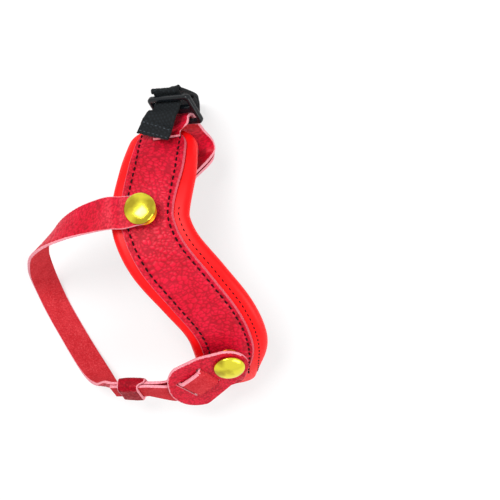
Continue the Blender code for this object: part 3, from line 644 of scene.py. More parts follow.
def sewRow(name, points, outwards, yarn, slot, pitch=None, scale=1.0):
    length = lengthsAlong(points)[-1]
    count = max(2, round(length / (pitch or stitching["pitch"])) + 1)
    row = polyline(name + "Row", points, outwards)
    piece = fromTree(name, row, stitchRow, {
        "Stitches": count, "Stitch length": stitching["length"] * scale * mm,
        "Thread radius": stitching["radius"] * scale * mm, "Rise": stitching["rise"] * scale * mm,
        "Dip": stitching["dip"] * scale * mm, "Seed": stitching["seed"], "Thread": yarn})
    return finishPiece(piece, slot=slot)


def rowOnPad(side, start, end, n):
    # points and outward directions of a row along the pad
    spots = np.arange(start, end, 1.0)
    points = [padPlace(float(spot), side, n) for spot in spots]
    outwards = [archNormal(valueAt(padPoints, padLengths, float(spot)).y) for spot in spots]
    return points, outwards


# straps of hide: frames hold a point, a width direction and an outward direction

def strapFrames(stations, step, square=True):
    knots = [Vector(point) for point, hint in stations]
    hints = [Vector(hint).normalized() for point, hint in stations]
    points, places = curveThrough(knots, min(step, 0.8))
    widths = []
    for place in places:
        index = min(int(place), len(hints) - 2)
        widths.append(hints[index].lerp(hints[index + 1], place - index))
    for turn in range(4):  # the width's direction changes softly
        widths = [widths[max(i - 1, 0)] * 0.25 + widths[i] * 0.5 + widths[min(i + 1, len(widths) - 1)] * 0.25
                  for i in range(len(widths))]
    lengths = lengthsAlong(points)
    spots = endSpots(lengths[-1], step)
    points = [valueAt(points, lengths, spot) for spot in spots]
    widths = [valueAt(widths, lengths, spot) for spot in spots]
    frames = []
    for point, tangent, hint in zip(points, tangentsOf(points), widths):
        width = squareTo(hint, tangent) if square else hint.normalized()
        frames.append((point, width, tangent.cross(width).normalized()))
    return frames, spots


def endSpots(length, step):
    near = [0.0, 0.1, 0.35, 0.8, 1.4, 2.2]
    count = math.ceil((length - 6.0) / step)
    middle = [3.0 + (length - 6.0) * k / count for k in range(count + 1)]
    return near + middle + [length - x for x in reversed(near)]


def strapSection(width, thickness, count, edge):
    # (side, height, zone) round a strap, face first: zone 0 face, 1 cut edge, 2 flesh side
    half, top = width / 2, thickness / 2
    near, drop, back = half - edge * 0.35, top - edge * 0.22, max(4, count // 2)
    points = [(-half + edge + (width - 2 * edge) * k / count, top, 0) for k in range(count + 1)]
    points += [(near, drop, 1), (half, top - edge, 1), (half, 0.0, 1), (half, -top + edge, 1), (near, -drop, 1)]
    points += [(half - edge - (width - 2 * edge) * k / back, -top, 2) for k in range(back + 1)]
    return points + [(-near, -drop, 1), (-half, -top + edge, 1), (-half, 0.0, 1), (-half, top - edge, 1),
                     (-near, drop, 1)]


def makeStrap(name, frames, spots, look):
    # look holds width(spot, whole), thickness, across, grainSize, grainDepth and seed; the rest may be left out
    rings, grains, zoneRows = [], [], []
    whole, seed = spots[-1], look["seed"]
    for (point, width, out), spot in zip(frames, spots):
        out = out * look.get("facing", 1)
        span = look["width"](spot, whole)
        section = strapSection(span, look["thickness"], look["across"], min(0.3, span * 0.3))
        bothGrain = spot > look.get("bothGrainFrom", 9.0) * whole
        raw = look.get("raw", lambda s: 0.0)(spot)  # how far the pale core shows in from the left edge
        raw *= 1 + 0.5 * noiseAt(spot * 2.2, 0.0, seed)
        zoneRows.append([1 if side > span / 2 - raw else 0 if zone == 2 and bothGrain else zone
                         for side, n, zone in section])
        crease = look.get("creases", lambda s: 0.0)(spot)
        ring, heights = [], []
        for side, n, zone in section:
            lift, tone = 0.0, 0.6
            if zone == 0 or zone == 2 and bothGrain:
                tone = pebbleAt(spot, side, look["grainSize"], seed)
                lift = look["grainDepth"] * (tone - 0.75) * ease(0.0, 0.9, span / 2 - abs(side))
                lift *= 1 if zone == 0 else -1
            elif zone == 2:
                lift = 0.06 * noiseAt(spot * 1.3, side * 1.3, seed)
            if zone == 1:
                side += 0.08 * noiseAt(spot * 1.7, n * 2.0, seed + 3)
            fold = -crease * creaseAt(spot, side, look.get("creasePitch", 2.6), seed)
            side += look.get("aside", lambda s: 0.0)(spot)
            ring.append(point + width * side + out * (n + lift + fold + look.get("shift", 0.0)))
            # the fold ridges lighten the grain value: a painted highlight along each crease
            heights.append(min(tone + fold * 2.0, 1.0))
        rings.append(ring)
        grains.append(heights)
    return meshFromRings(name, rings, zoneRows, leatherSlots, grains)


# press snaps: heights are along the snap's axis, out from the pad's top

snap = {
    "upperAt": (0.4, -16.5), "lowerAt": (27.4, 59.0), "seat": 0.4,
    "upperLean": (-0.15, 0.03, 0.0), "lowerLean": (0.0, 0.0, 0.0),  # how far the strap's pull tips the cap
    "capRadius": 7.3, "capHeight": 3.1, "capRim": 0.9, "barrel": 2.1, "holeClearance": 0.4,
    "socketRadius": 6.2, "socketHeight": 2.95, "socketPlate": 0.7,
    "studFlange": 5.6, "studFlangeHeight": 0.7, "studRadius": 3.0, "studHeight": 2.9,
    "postRadius": 1.6, "postFlange": 5.0, "postFlangeHeight": 0.8, "segments": 72,
}
hide = {"thickness": 1.4, "grainSize": 1.25, "grainDepth": 0.13}


def snapLevels():
    studLow = panelTop() + snap["seat"]
    socketLow = studLow + snap["studFlangeHeight"] + gap
    socketHigh = socketLow + snap["socketHeight"]
    strapLow = socketHigh + gap
    return {"studLow": studLow, "studHigh": studLow + snap["studHeight"], "socketLow": socketLow,
            "socketHigh": socketHigh, "strapMiddle": strapLow + hide["thickness"] / 2,
            "capLow": strapLow + hide["thickness"] + gap}


def leaning(spot, lean):
    # where the cap's axis starts and how it points: it tips on the socket's foot
    axis, low = archNormal(spot[1]), snapLevels()["socketLow"]
    leaned = (axis + Vector(lean)).normalized()
    return archPoint(*spot) + axis * low - leaned * low, leaned


def turnedPiece(name, profile, centre, axis, finish, segments):
    # a body turned from (radius, height) points, both ends on the axis or the profile closed on itself
    turn = Vector((0, 0, 1)).rotation_difference(axis)
    points, rows = [], []
    for radius, height in profile:
        row = []
        for k in range(1 if radius == 0 else segments):
            angle = 2 * math.pi * k / segments
            points.append(centre + turn @ Vector((radius * math.cos(angle), radius * math.sin(angle), height)))
            row.append(len(points) - 1)
        rows.append(row)
    pairs = list(zip(rows, rows[1:]))
    if profile[0][0] != 0:
        pairs.append((rows[-1], rows[0]))
    faces = []
    for first, second in pairs:
        for k in range(segments):
            j = (k + 1) % segments
            ring = [first[k % len(first)], first[j % len(first)], second[j % len(second)], second[k % len(second)]]
            faces.append(tuple(dict.fromkeys(ring)))
    return meshFrom(name, points, faces, [0] * len(faces), None, [finish])


def makeSnap(prefix, spot):
    a, w = spot
    centre, axis, level = archPoint(a, w), archNormal(w), snapLevels()
    hole = snap["barrel"] + snap["holeClearance"]
    cap, radius = level["capLow"], snap["capRadius"]
    barrelLow = level["socketHigh"] - snap["socketPlate"] + gap
    crown = [(radius * math.cos(math.radians(x)),
              cap + snap["capRim"] + (snap["capHeight"] - snap["capRim"]) * math.sin(math.radians(x)))
             for x in range(6, 90, 6)]
    rim = [(radius - 0.55, cap + 0.02), (radius - 0.25, cap + 0.1), (radius - 0.08, cap + 0.25),
           (radius, cap + 0.45), (radius + 0.02, cap + 0.7), (radius, cap + snap["capRim"])]
    capProfile = [(0, barrelLow), (snap["barrel"], barrelLow), (snap["barrel"], cap), (radius - 1.0, cap)] \
        + rim + crown + [(0, cap + snap["capHeight"])]
    capCentre, capAxis = leaning(spot, snap[prefix + "Lean"])
    made = [turnedPiece(prefix + "SnapCap", capProfile, capCentre, capAxis, goldBright, snap["segments"])]
    inner = snap["studRadius"] + gap + 0.1
    low, high, wide = level["socketLow"], level["socketHigh"], snap["socketRadius"]
    socketProfile = [(inner, low), (wide - 0.35, low), (wide - 0.1, low + 0.12), (wide, low + 0.4),
                     (wide - 0.1, low + 0.7), (wide - 0.45, low + 0.95), (wide - 0.5, high - 1.0),
                     (wide - 0.25, high - 0.6), (wide - 0.45, high - 0.25), (wide - 0.9, high), (hole, high),
                     (hole, high - snap["socketPlate"]), (inner, high - snap["socketPlate"])]
    made.append(turnedPiece(prefix + "SnapSocket", socketProfile, centre, axis, goldDull, snap["segments"]))
    low, high = level["studLow"], level["studHigh"]
    flange = low + snap["studFlangeHeight"]
    bore, neck = snap["postRadius"] + gap, snap["studRadius"] - 0.5
    studProfile = [(bore, low), (snap["studFlange"] - 0.2, low), (snap["studFlange"], low + 0.2),
                   (snap["studFlange"], flange - 0.2), (snap["studFlange"] - 0.2, flange), (neck, flange),
                   (neck, flange + 0.3), (neck + 0.35, flange + 0.6), (neck + 0.5, flange + 0.95),
                   (snap["studRadius"], high - 0.6), (neck + 0.3, high - 0.2), (neck, high), (bore, high)]
    made.append(turnedPiece(prefix + "SnapStud", studProfile, centre, axis, goldDull, 48))
    seat = liningLow - snap["seat"] - 0.2
    foot, thick = snap["postFlange"], snap["postFlangeHeight"]
    postProfile = [(0, seat - thick), (foot - 0.5, seat - thick), (foot - 0.15, seat - thick * 0.85),
                   (foot, seat - thick * 0.5), (foot - 0.15, seat - 0.1), (foot - 0.4, seat),
                   (snap["postRadius"], seat), (snap["postRadius"], high - gap), (0, high - gap)]
    made.append(turnedPiece(prefix + "SnapPost", postProfile, centre, axis, goldDull, 48))
    for piece, node, slot in zip(made, ("cap", "socket", "stud", "post"),
                                 ("polished_brass", "polished_brass", "plated_steel", "plated_steel")):
        finishPiece(piece, prefix + "_snap_" + node, slot=slot)


# the slotted tab: a flat drop of hide that touches the arch at the lower snap

tab = {
    "smallRound": 9.0, "bigRound": 14.0, "bigCentre": (-16.0, -8.0), "slotTurn": math.radians(38.3),
    "slotClearance": 0.8, "sideShift": 2.8, "webStart": -12.6, "webLength": 9.7, "foldSlot": 2.8, "tailSlot": 3.6,
    "spacing": 0.55,
    "fullTop": 3.4, "fullBottom": 4.4,  # how far its long sides bow out
}
wrist = {
    "width": 15.0, "tailWidth": 12.5, "tailLength": 47.7, "step": 0.4, "across": 26, "seed": 11.0,
    "folds": ((42.0, 15.0, 0.34), (78.0, 16.0, 0.34), (118.0, 22.0, 0.2)),  # middle, reach and depth
}


def tabPoint(x, y, height=0.0):
    a, w = snap["lowerAt"]
    centre = archPoint(a, w) + archNormal(w) * (snapLevels()["strapMiddle"] + height)
    return centre + across * x - archSlope(w) * y


def slotFlat(along, side):
    c, s = math.cos(tab["slotTurn"]), math.sin(tab["slotTurn"])
    return Vector((along * c - side * s, along * s + side * c))


def slotPoint(along, side, height=0.0):
    flat = slotFlat(along, side)
    return tabPoint(flat.x, flat.y, height)


def slotSide():
    return (slotPoint(0, 1) - slotPoint(0, 0)).normalized()


def tabOutline():
    centre = Vector(tab["bigCentre"])
    heading = math.atan2(centre.y, centre.x)
    lean = math.acos((tab["bigRound"] - tab["smallRound"]) / centre.length)
    points = []
    for k in range(49):
        angle = heading - lean + 2 * lean * k / 48
        points.append(centre + tab["bigRound"] * Vector((math.cos(angle), math.sin(angle))))
    for k in range(33):
        angle = heading + lean + (2 * math.pi - 2 * lean) * k / 32
        points.append(tab["smallRound"] * Vector((math.cos(angle), math.sin(angle))))
    points, fuller = evenLoop(points, 0.5), []
    for before, point, after in zip(points[-1:] + points[:-1], points, points[1:] + points[:1]):
        way = (after - before).normalized()
        normal = Vector((way.y, -way.x))
        above, below = max(normal.y, 0.0), max(-normal.y, 0.0)
        swell = tab["fullTop"] * above * bell(point.x + 11.5, 10.5)
        swell += tab["fullBottom"] * below ** 1.5 * (0.4 + 0.6 * ease(-2, -13, point.x))
        fuller.append(point + normal * swell)
    taut = geometry.convex_hull_2d(fuller)  # the blank has no hollow side
    return evenLoop([fuller[k] for k in taut], 0.6)


def evenLoop(points, step):
    # the closed loop again, with points about a step apart
    closed = points + [points[0]]
    lengths = lengthsAlong([Vector((p.x, p.y, 0)) for p in closed])
    count = max(12, round(lengths[-1] / step))
    return [Vector(valueAt([Vector((p.x, p.y, 0)) for p in closed], lengths, lengths[-1] * k / count)[:2])
            for k in range(count)]


def plateField(points, outer, holes):
    # for flat points: how far the nearest cut is, and whether they are in the plate
    spots = np.array([(point[0], point[1]) for point in points])
    near, inside = np.full(len(spots), 1e9), np.ones(len(spots), bool)
    for index, loop in enumerate([outer] + holes):
        first = np.array([(point[0], point[1]) for point in loop])
        second = np.roll(first, -1, axis=0)
        way = second - first
        offset = spots[:, None, :] - first[None]
        share = np.clip((offset * way).sum(2) / (way ** 2).sum(1), 0, 1)
        near = np.minimum(near, np.sqrt(((offset - share[..., None] * way) ** 2).sum(2)).min(1))
        crosses = (first[None, :, 1] > spots[:, None, 1]) != (second[None, :, 1] > spots[:, None, 1])
        rise = np.where(way[:, 1] == 0, 1e-12, way[:, 1])
        reach = way[:, 0] * (spots[:, None, 1] - first[:, 1]) / rise + first[:, 0]
        odd = (crosses & (spots[:, None, 0] < reach)).sum(1) % 2 == 1
        inside &= odd if index == 0 else ~odd
    return near, inside


def movedLoop(loop, distance):
    # the closed loop moved to its left by a distance, corners mitred
    found = []
    for before, point, after in zip(loop[-1:] + loop[:-1], loop, loop[1:] + loop[:1]):
        first, second = (point - before).normalized(), (after - point).normalized()
        normal = Vector((-(first.y + second.y), first.x + second.x)).normalized()
        found.append(point + normal * distance / max(normal.dot(Vector((-first.y, first.x))), 0.6))
    return found


def makePlate(name, outer, holes, look, place, slots):
    # a plate with holes, its edges rounded; outer and holes run to the left round their own middle
    half, edge, spacing = look["thickness"] / 2, look["edge"], look["spacing"]
    sliver = 0.0005  # mm2: three points of a straight side can make a face with no height
    flat, constraints = [], []
    for index, loop in enumerate([outer] + holes):
        first = len(flat)
        flat += loop
        constraints += [(first + k, first + (k + 1) % len(loop)) for k in range(len(loop))]
        for share in look["rounds"]:
            flat += movedLoop(loop, edge * share * (1 if index == 0 else -1))
    xs, ys = [point.x for point in outer], [point.y for point in outer]
    grid = [Vector((min(xs) + spacing * (i + j % 2 / 2), min(ys) + spacing * 0.87 * j))
            for j in range(math.ceil((max(ys) - min(ys)) / spacing / 0.87))
            for i in range(math.ceil((max(xs) - min(xs)) / spacing))]
    near, inside = plateField(grid, outer, holes)
    flat += [point for point, far, kept in zip(grid, near, inside) if kept and far > edge + spacing * 0.45]
    found = geometry.delaunay_2d_cdt(flat, constraints, [], 0, 1e-5)
    vertices, triangles = found[0], found[2]
    middles = [(vertices[a] + vertices[b] + vertices[c]) / 3 for a, b, c in triangles]
    kept = [tuple(triangle) for triangle, ok in zip(triangles, plateField(middles, outer, holes)[1])
            if ok and geometry.area_tri(*(vertices[k] for k in triangle)) > sliver]
    nears = plateField(vertices, outer, holes)[0]
    tone = look.get("tone", lambda point: 0.6)
    lift = look.get("lift", lambda point: 0.0)
    points, grains = [], []
    for side in (1, -1):
        for point, near in zip(vertices, nears):
            value = tone(point) if side > 0 else 0.6
            drop = edge - math.sqrt(max(edge ** 2 - max(edge - near, 0.0) ** 2, 0.0))
            grain = look.get("grainDepth", 0.0) * (value - 0.75) * ease(0.2, 1.0, near) if side > 0 else 0.0
            points.append(place(point.x, point.y, side * (half - drop) + lift(point) + grain))
            grains.append(value)
    count, single = len(vertices), len(slots) == 1
    faces = kept + [tuple(i + count for i in reversed(triangle)) for triangle in kept]
    bare = look.get("bare", lambda point: 0.0)  # how far in from the cut the pale core shows
    middles = [(vertices[a] + vertices[b] + vertices[c]) / 3 for a, b, c in kept]
    zones = [1 if far < bare(middle) else 0 for middle, far in zip(middles, plateField(middles, outer, [])[0])]
    zones += [0 if single else 2] * len(kept)
    pairs = {(t[i], t[(i + 1) % 3]) for t in kept for i in range(3)}
    for i, j in sorted(pairs):
        if (j, i) not in pairs:
            faces.append((j, i, i + count, j + count))
            zones.append(0 if single else 1)
    return meshFrom(name, points, faces, zones, grains, slots)


def makeTab():
    outline = tabOutline()
    length = wrist["tailWidth"] / 2 + tab["slotClearance"]
    holes = []
    for start, end in ((tab["webStart"], tab["webStart"] + tab["foldSlot"]),
                       (tab["webStart"] - tab["webLength"] - tab["tailSlot"], tab["webStart"] - tab["webLength"])):
        corners = [(start, -length), (end, -length), (end, length), (start, length)]
        holes.append(evenLoop([slotFlat(x, tab["sideShift"] + y) for x, y in corners], 0.6))
    bore = snap["barrel"] + snap["holeClearance"]
    turns = [2 * math.pi * k / 24 for k in range(24)]
    holes.append([Vector((bore * math.cos(turn), bore * math.sin(turn))) for turn in turns])
    look = {"thickness": hide["thickness"], "edge": 0.32, "rounds": (0.15, 0.45, 1.0), "spacing": tab["spacing"],
            "grainDepth": hide["grainDepth"],
            "tone": lambda point: pebbleAt(point.x, point.y, hide["grainSize"], 21.0),
            "lift": lambda point: 0.1 * noiseAt(point.x * 0.15, point.y * 0.15, 2.0),
            "bare": lambda point: 0.5 if point.y > point.x / 2 + 3.0 or point.x < -25 else 0.0}
    piece = makePlate("slottedTab", outline, holes, look, tabPoint, leatherSlots)
    return finishPiece(piece, "slotted_tab", slot="grain_leather")


# the wrist strap: from the upper snap round the loop, through the keeper and the tab's slots, and back

keeper = {
    "centre": (-9.2, -66.1, 27.0), "axis": (0.985, 0.03, 0.17), "wideAxis": (-0.2, 0.45, 0.87),
    "length": 13.0, "wall": 1.3, "corner": 1.2, "around": 150,
    "mouth": 3.2, "belly": 0.45,
}
layerStep = (hide["thickness"] + gap) / 2


def keeperAxes():
    along = Vector(keeper["axis"]).normalized()
    wide = squareTo(Vector(keeper["wideAxis"]), along)
    return along, wide, along.cross(wide)


def keeperStation(distance, layer):
    along, wide, out = keeperAxes()
    return Vector(keeper["centre"]) + along * distance + out * layer * layerStep, wide


wristLoop = [((-18.0, 16.2, 62.0), (0.10, -0.97, 0.24)), ((-28.8, 13.4, 59.8), (0.12, -0.86, 0.50)),
             ((-38.6, 9.5, 56.0), (0.10, -0.64, 0.76)), ((-46.0, 5.2, 50.0), (-0.10, -0.42, 0.90)),
             ((-51.8, 0.4, 40.5), (-0.36, -0.38, 0.85)), ((-55.0, -5.0, 27.0), (-0.62, -0.62, 0.47)),
             ((-55.8, -11.0, 14.0), (-0.80, -0.58, 0.15)), ((-54.2, -19.0, 4.4), (-0.85, -0.53, 0.0)),
             ((-49.8, -29.5, 0.8), (-0.85, -0.53, 0.0)), ((-42.4, -42.5, 0.8), (-0.85, -0.53, 0.0)),
             ((-35.0, -54.0, 3.4), (-0.82, -0.52, 0.20)), ((-28.8, -61.2, 9.6), (-0.70, -0.38, 0.58)),
             ((-23.6, -65.2, 17.0), (-0.50, -0.02, 0.86))]


def wristStations():
    foot, axis = leaning(snap["upperAt"], snap["upperLean"])
    centre = foot + axis * snapLevels()["strapMiddle"]
    heading = squareTo(Vector((-1.0, -0.12, 0.0)), axis)
    found = [(centre + heading * x, axis.cross(heading)) for x in (-6.1, -3.0, 3.0, 9.0)]
    found += wristLoop + [keeperStation(x, -1) for x in (-10.0, -5.0, 0.0, 5.0, 8.0)]
    side, shift, radius = slotSide(), tab["sideShift"], hide["thickness"] + gap
    main = -2 * radius
    found += [(slotPoint(*place), side) for place in (
        (-33.0, shift + 3.4, main - 0.7), (-26.0, shift + 2.2, main), (-20.5, shift + 1.0, main + 0.5),
        (-16.0, shift + 0.2, -radius - 0.1))]
    for angle in (-90, -45, 0, 45, 90):
        turn = math.radians(angle)
        found.append((slotPoint(tab["webStart"] + radius * math.cos(turn), shift, radius * math.sin(turn)), side))
    middle = tab["webStart"] - tab["webLength"] - tab["tailSlot"] / 2
    found += [(slotPoint(along, shift, height), side) for along, height in (
        (-16.6, radius + 0.15), (middle + 3.6, radius), (middle + 1.0, 1.3), (middle - 1.0, -1.3),
        (middle - 3.6, -radius - 0.05), (-32.5, -radius - 0.7))]
    return found + [keeperStation(x, 1) for x in (8.0, 5.0, 0.0, -5.0, -10.5)]


def wristWidth(spot, whole):
    full = wrist["width"] + (wrist["tailWidth"] - wrist["width"]) * ease(30, 110, spot) - 1.0 * ease(15, 7, spot)
    return full * endShare(spot + 0.15, wrist["width"] / 2) if spot < wrist["width"] / 2 else full


def makeWristStrap():
    frames, spots = strapFrames(wristStations(), wrist["step"])
    web = spots[-1] - wrist["tailLength"]  # the middle of the diamond that shows between the slots

    def creases(spot):
        return sum(depth * bell(spot - middle, reach) for middle, reach, depth in wrist["folds"])

    look = dict(hide, width=wristWidth, across=wrist["across"], seed=wrist["seed"], creases=creases,
                creasePitch=1.8, raw=lambda spot: 0.75 * bell(spot - web, 6.5))
    return finishPiece(makeStrap("wristStrap", frames, spots, look), "wrist_strap", slot="grain_leather")


def roundedRing(halfWidth, halfHeight, corner, count):
    # points evenly round a rectangle with round corners, to the left from the middle of its right side
    corners = []
    for x, y, start in ((1, 1, 0), (-1, 1, 90), (-1, -1, 180), (1, -1, 270)):
        for k in range(13):
            turn = math.radians(start + 90 * k / 12)
            corners.append(Vector((x * (halfWidth - corner) + corner * math.cos(turn),
                                   y * (halfHeight - corner) + corner * math.sin(turn), 0)))
    closed = corners + [corners[0]]
    lengths = lengthsAlong(closed)
    return [valueAt(closed, lengths, lengths[-1] * k / count) for k in range(count)]


def makeKeeper():
    # a sleeve: each ring goes along the bore and back along the outside
    along, wide, out = keeperAxes()
    halfWidth, halfHeight = wrist["tailWidth"] / 2 + 2 * gap, layerStep + hide["thickness"] / 2 + gap
    half, wall = keeper["length"] / 2, keeper["wall"]
    walls = [(half - 0.35 - (keeper["length"] - 0.7) * k / 8, 0.0, 2) for k in range(9)]
    walls += [(-half + 0.08, 0.25, 1), (-half, 0.45, 1), (-half, wall - 0.45, 1), (-half + 0.08, wall - 0.15, 1)]
    walls += [(-half + 0.4 + (keeper["length"] - 0.8) * k / 26, wall, 0) for k in range(27)]
    walls += [(half - 0.08, wall - 0.15, 1), (half, wall - 0.45, 1), (half, 0.45, 1), (half - 0.08, 0.25, 1)]
    rows = [roundedRing(halfWidth + depth, halfHeight + depth, keeper["corner"] + depth, keeper["around"])
            for place, depth, zone in walls]
    rings, grains = [], []
    for k in range(keeper["around"]):
        ring, heights = [], []
        for (place, depth, zone), row in zip(walls, rows):
            flat = row[k]
            forward = ease(-0.6, 0.8, flat.y / halfHeight)
            place -= keeper["mouth"] * forward * ease(-half, half, place)  # its mouth is cut back in front
            normal = Vector((flat.x / halfWidth, flat.y / halfHeight, 0)).normalized()
            around = k / keeper["around"] * 38.0
            tone = pebbleAt(place, around, hide["grainSize"], 31.0) if zone == 0 else 0.6
            lift = hide["grainDepth"] * (tone - 0.75) if zone == 0 else 0.0
            lift += keeper["belly"] * (1 - (place / half) ** 2) * depth / wall
            lift += 0.16 * noiseAt(place * 0.2, flat.x * 0.3, flat.y * 0.5) * (depth / wall)
            if zone != 2 and flat.y < 0:  # the sleeve's ends lap over each other on its back
                lift += 0.3 * ease(-0.6, 0.2, flat.x) * (1 - ease(2.0, 6.0, flat.x))
            ring.append(Vector(keeper["centre"]) + along * place + wide * (flat.x + normal.x * lift)
                        + out * (flat.y + normal.y * lift))
            heights.append(tone)
        rings.append(ring)
        grains.append(heights)
    pairs = [(wall[2], after[2]) for wall, after in zip(walls, walls[1:] + walls[:1])]
    zones = [max(a % 2, b % 2) if a != b else a for a, b in pairs] * len(rings)
    faces = facesBetween(rings, len(rings))
    piece = meshFrom("strapKeeper", joined(rings), faces, zones, joined(grains), keeperSlots)
    return finishPiece(piece, "strap_keeper", slot="grain_leather")


# the tri-glide at the pad's upper end

def buckleAxes():
    bar = Vector(buckle["barAxis"]).normalized()
    lower = squareTo(Vector(buckle["downAxis"]), bar)
    return bar, lower, lower.cross(bar).normalized()


def bucklePoint(p, q, m=0.0):
    bar, lower, face = buckleAxes()
    return Vector(buckle["centre"]) + bar * p + lower * q + face * m


def buckleSlots():
    top, bottom = -buckle["height"] / 2 + buckle["bar"], buckle["height"] / 2 - buckle["bar"]
    middle, half = buckle["middleShift"], buckle["middleBar"] / 2
    return (top, middle - half), (middle + half, bottom)


def makeBuckle():
    outline = roundedRing(buckle["length"] / 2, buckle["height"] / 2, buckle["round"], 160)
    outer = [point.to_2d() for point in outline]
    reach = buckle["length"] / 2 - buckle["rail"]
    holes = []
    for low, high in buckleSlots():
        ring = roundedRing(reach, (high - low) / 2, 0.8, 96)
        holes.append([point.to_2d() + Vector((0, (low + high) / 2)) for point in ring])
    look = {"thickness": buckle["thickness"], "edge": buckle["edge"], "rounds": (0.06, 0.2, 0.45, 0.72, 1.0),
            "spacing": 0.6, "lift": lambda point: 0.02 * noiseAt(point.x * 0.3, point.y * 0.3, 5.0)}
    piece = makePlate("triGlide", outer, holes, look, bucklePoint, [acetalBlack])
    return finishPiece(piece, "tri_glide", slot="black_plastic")


# the lug webbing: Geometry Nodes raise its woven ribs on a plain band

webbing = {
    "width": 15.0, "thickness": 1.3, "shift": -2.1, "loopRadius": 4.6, "loopAt": (13.0, 68.6), "floor": 0.05,
    "step": 0.3, "across": 50, "hem": 7.0, "hemThickness": 0.9, "skew": 2.0,
    "ribPitch": 1.7, "ribDepth": 0.2, "yarnWidth": 1.5, "seed": 3,
}


def webbingStations():
    bar, level = buckleAxes()[0], Vector((1.0, 0.0, 0.0))
    p = webbing["shift"]
    low, high = buckleSlots()[0]
    middle, top = (low + high) / 2, -buckle["height"] / 2
    floor = webbing["thickness"] / 2 + webbing["floor"]
    (x, y), r = webbing["loopAt"], webbing["loopRadius"]
    return [((0.9, 52.3, 44.4), (0.93, -0.22, 0.25)), ((2.2, 55.0, 45.3), (0.95, -0.14, 0.27)),
            ((3.6, 58.4, 46.3), (0.95, -0.06, 0.30)), ((5.4, 61.8, 46.5), (0.90, 0.0, 0.42)),
            (bucklePoint(p, middle + 1.0, 2.4), bar), (bucklePoint(p, middle, 0.4), bar),
            (bucklePoint(p, middle - 0.7, -1.6), bar), (bucklePoint(p, top + 1.4, -2.9), bar),
            (bucklePoint(p, top - 1.0, -3.8), bar), ((11.2, 73.6, 34.0), (0.93, 0.0, 0.36)),
            ((x, y + r + 0.6, 22.0), level), ((x, y + r, 10.0), level),
            ((x, y + r, floor + r), level), ((x, y + r * 0.7, floor + r * 0.3), level),
            ((x, y, floor), level), ((x, y - r * 0.7, floor + r * 0.3), level),
            ((x, y - r, floor + r), level), ((x, y - r + 0.6, 12.0), level),
            ((x, y + r - 2.6, 21.0), level), ((11.7, 72.6, 30.0), (0.95, 0.0, 0.3))]


def weaveTree():
    tree, given = startTree("webbingWeave", "Band", {
        "Rib pitch": 'Float', "Yarn width": 'Float', "Rib depth": 'Float', "Seed": 'Int', "Finish": 'Material'},
        "Webbing made")

    def calc(kind, first, second=0.0):
        return mathOf(tree, kind, first, second)

    along, side = [addNode(tree, "GeometryNodeInputNamedAttribute", {"data_type": 'FLOAT'}, Name=label).outputs[0]
                   for label in ("along", "side")]
    column = calc('DIVIDE', side, given["Yarn width"])
    brick = calc('MULTIPLY', calc('MODULO', calc('FLOOR', column), 2.0), 0.5)
    rows = calc('ADD', calc('DIVIDE', along, given["Rib pitch"]), brick)
    wave = calc('ABSOLUTE', calc('SINE', calc('MULTIPLY', rows, math.pi)))
    yarn = calc('POWER', calc('ABSOLUTE', calc('SINE', calc('MULTIPLY', column, math.pi))), 0.6)
    rib = calc('MULTIPLY', wave, yarn)
    uneven = addNode(tree, "FunctionNodeRandomValue", {"data_type": 'FLOAT'}, in2=-0.12, in3=0.12,
                     Seed=given["Seed"])
    lift = calc('MULTIPLY', calc('ADD', rib, uneven.outputs[1]), given["Rib depth"])
    normal = tree.nodes.new("GeometryNodeInputNormal").outputs[0]
    offset = addNode(tree, "ShaderNodeVectorMath", {"operation": 'SCALE'}, in0=normal, Scale=lift).outputs[0]
    # the rib height is kept for the colour: painted shade between ribs, painted highlight on their tops
    stored = addNode(tree, "GeometryNodeStoreNamedAttribute", {"data_type": 'FLOAT', "domain": 'POINT'},
                     Geometry=given["Band"], Name="rib", Value=rib)
    raised = addNode(tree, "GeometryNodeSetPosition", Geometry=stored.outputs[0], Offset=offset)
    real = addNode(tree, "GeometryNodeRealizeInstances", Geometry=raised.outputs[0])
    painted = addNode(tree, "GeometryNodeSetMaterial", Geometry=real.outputs[0], Material=given["Finish"])
    addNode(tree, "NodeGroupOutput", in0=painted.outputs[0])
    return tree


def skewAt(spot):
    # its end is cut a little askew
    return webbing["skew"] * (1 - ease(0, 10, spot)) * 2 / webbing["width"]


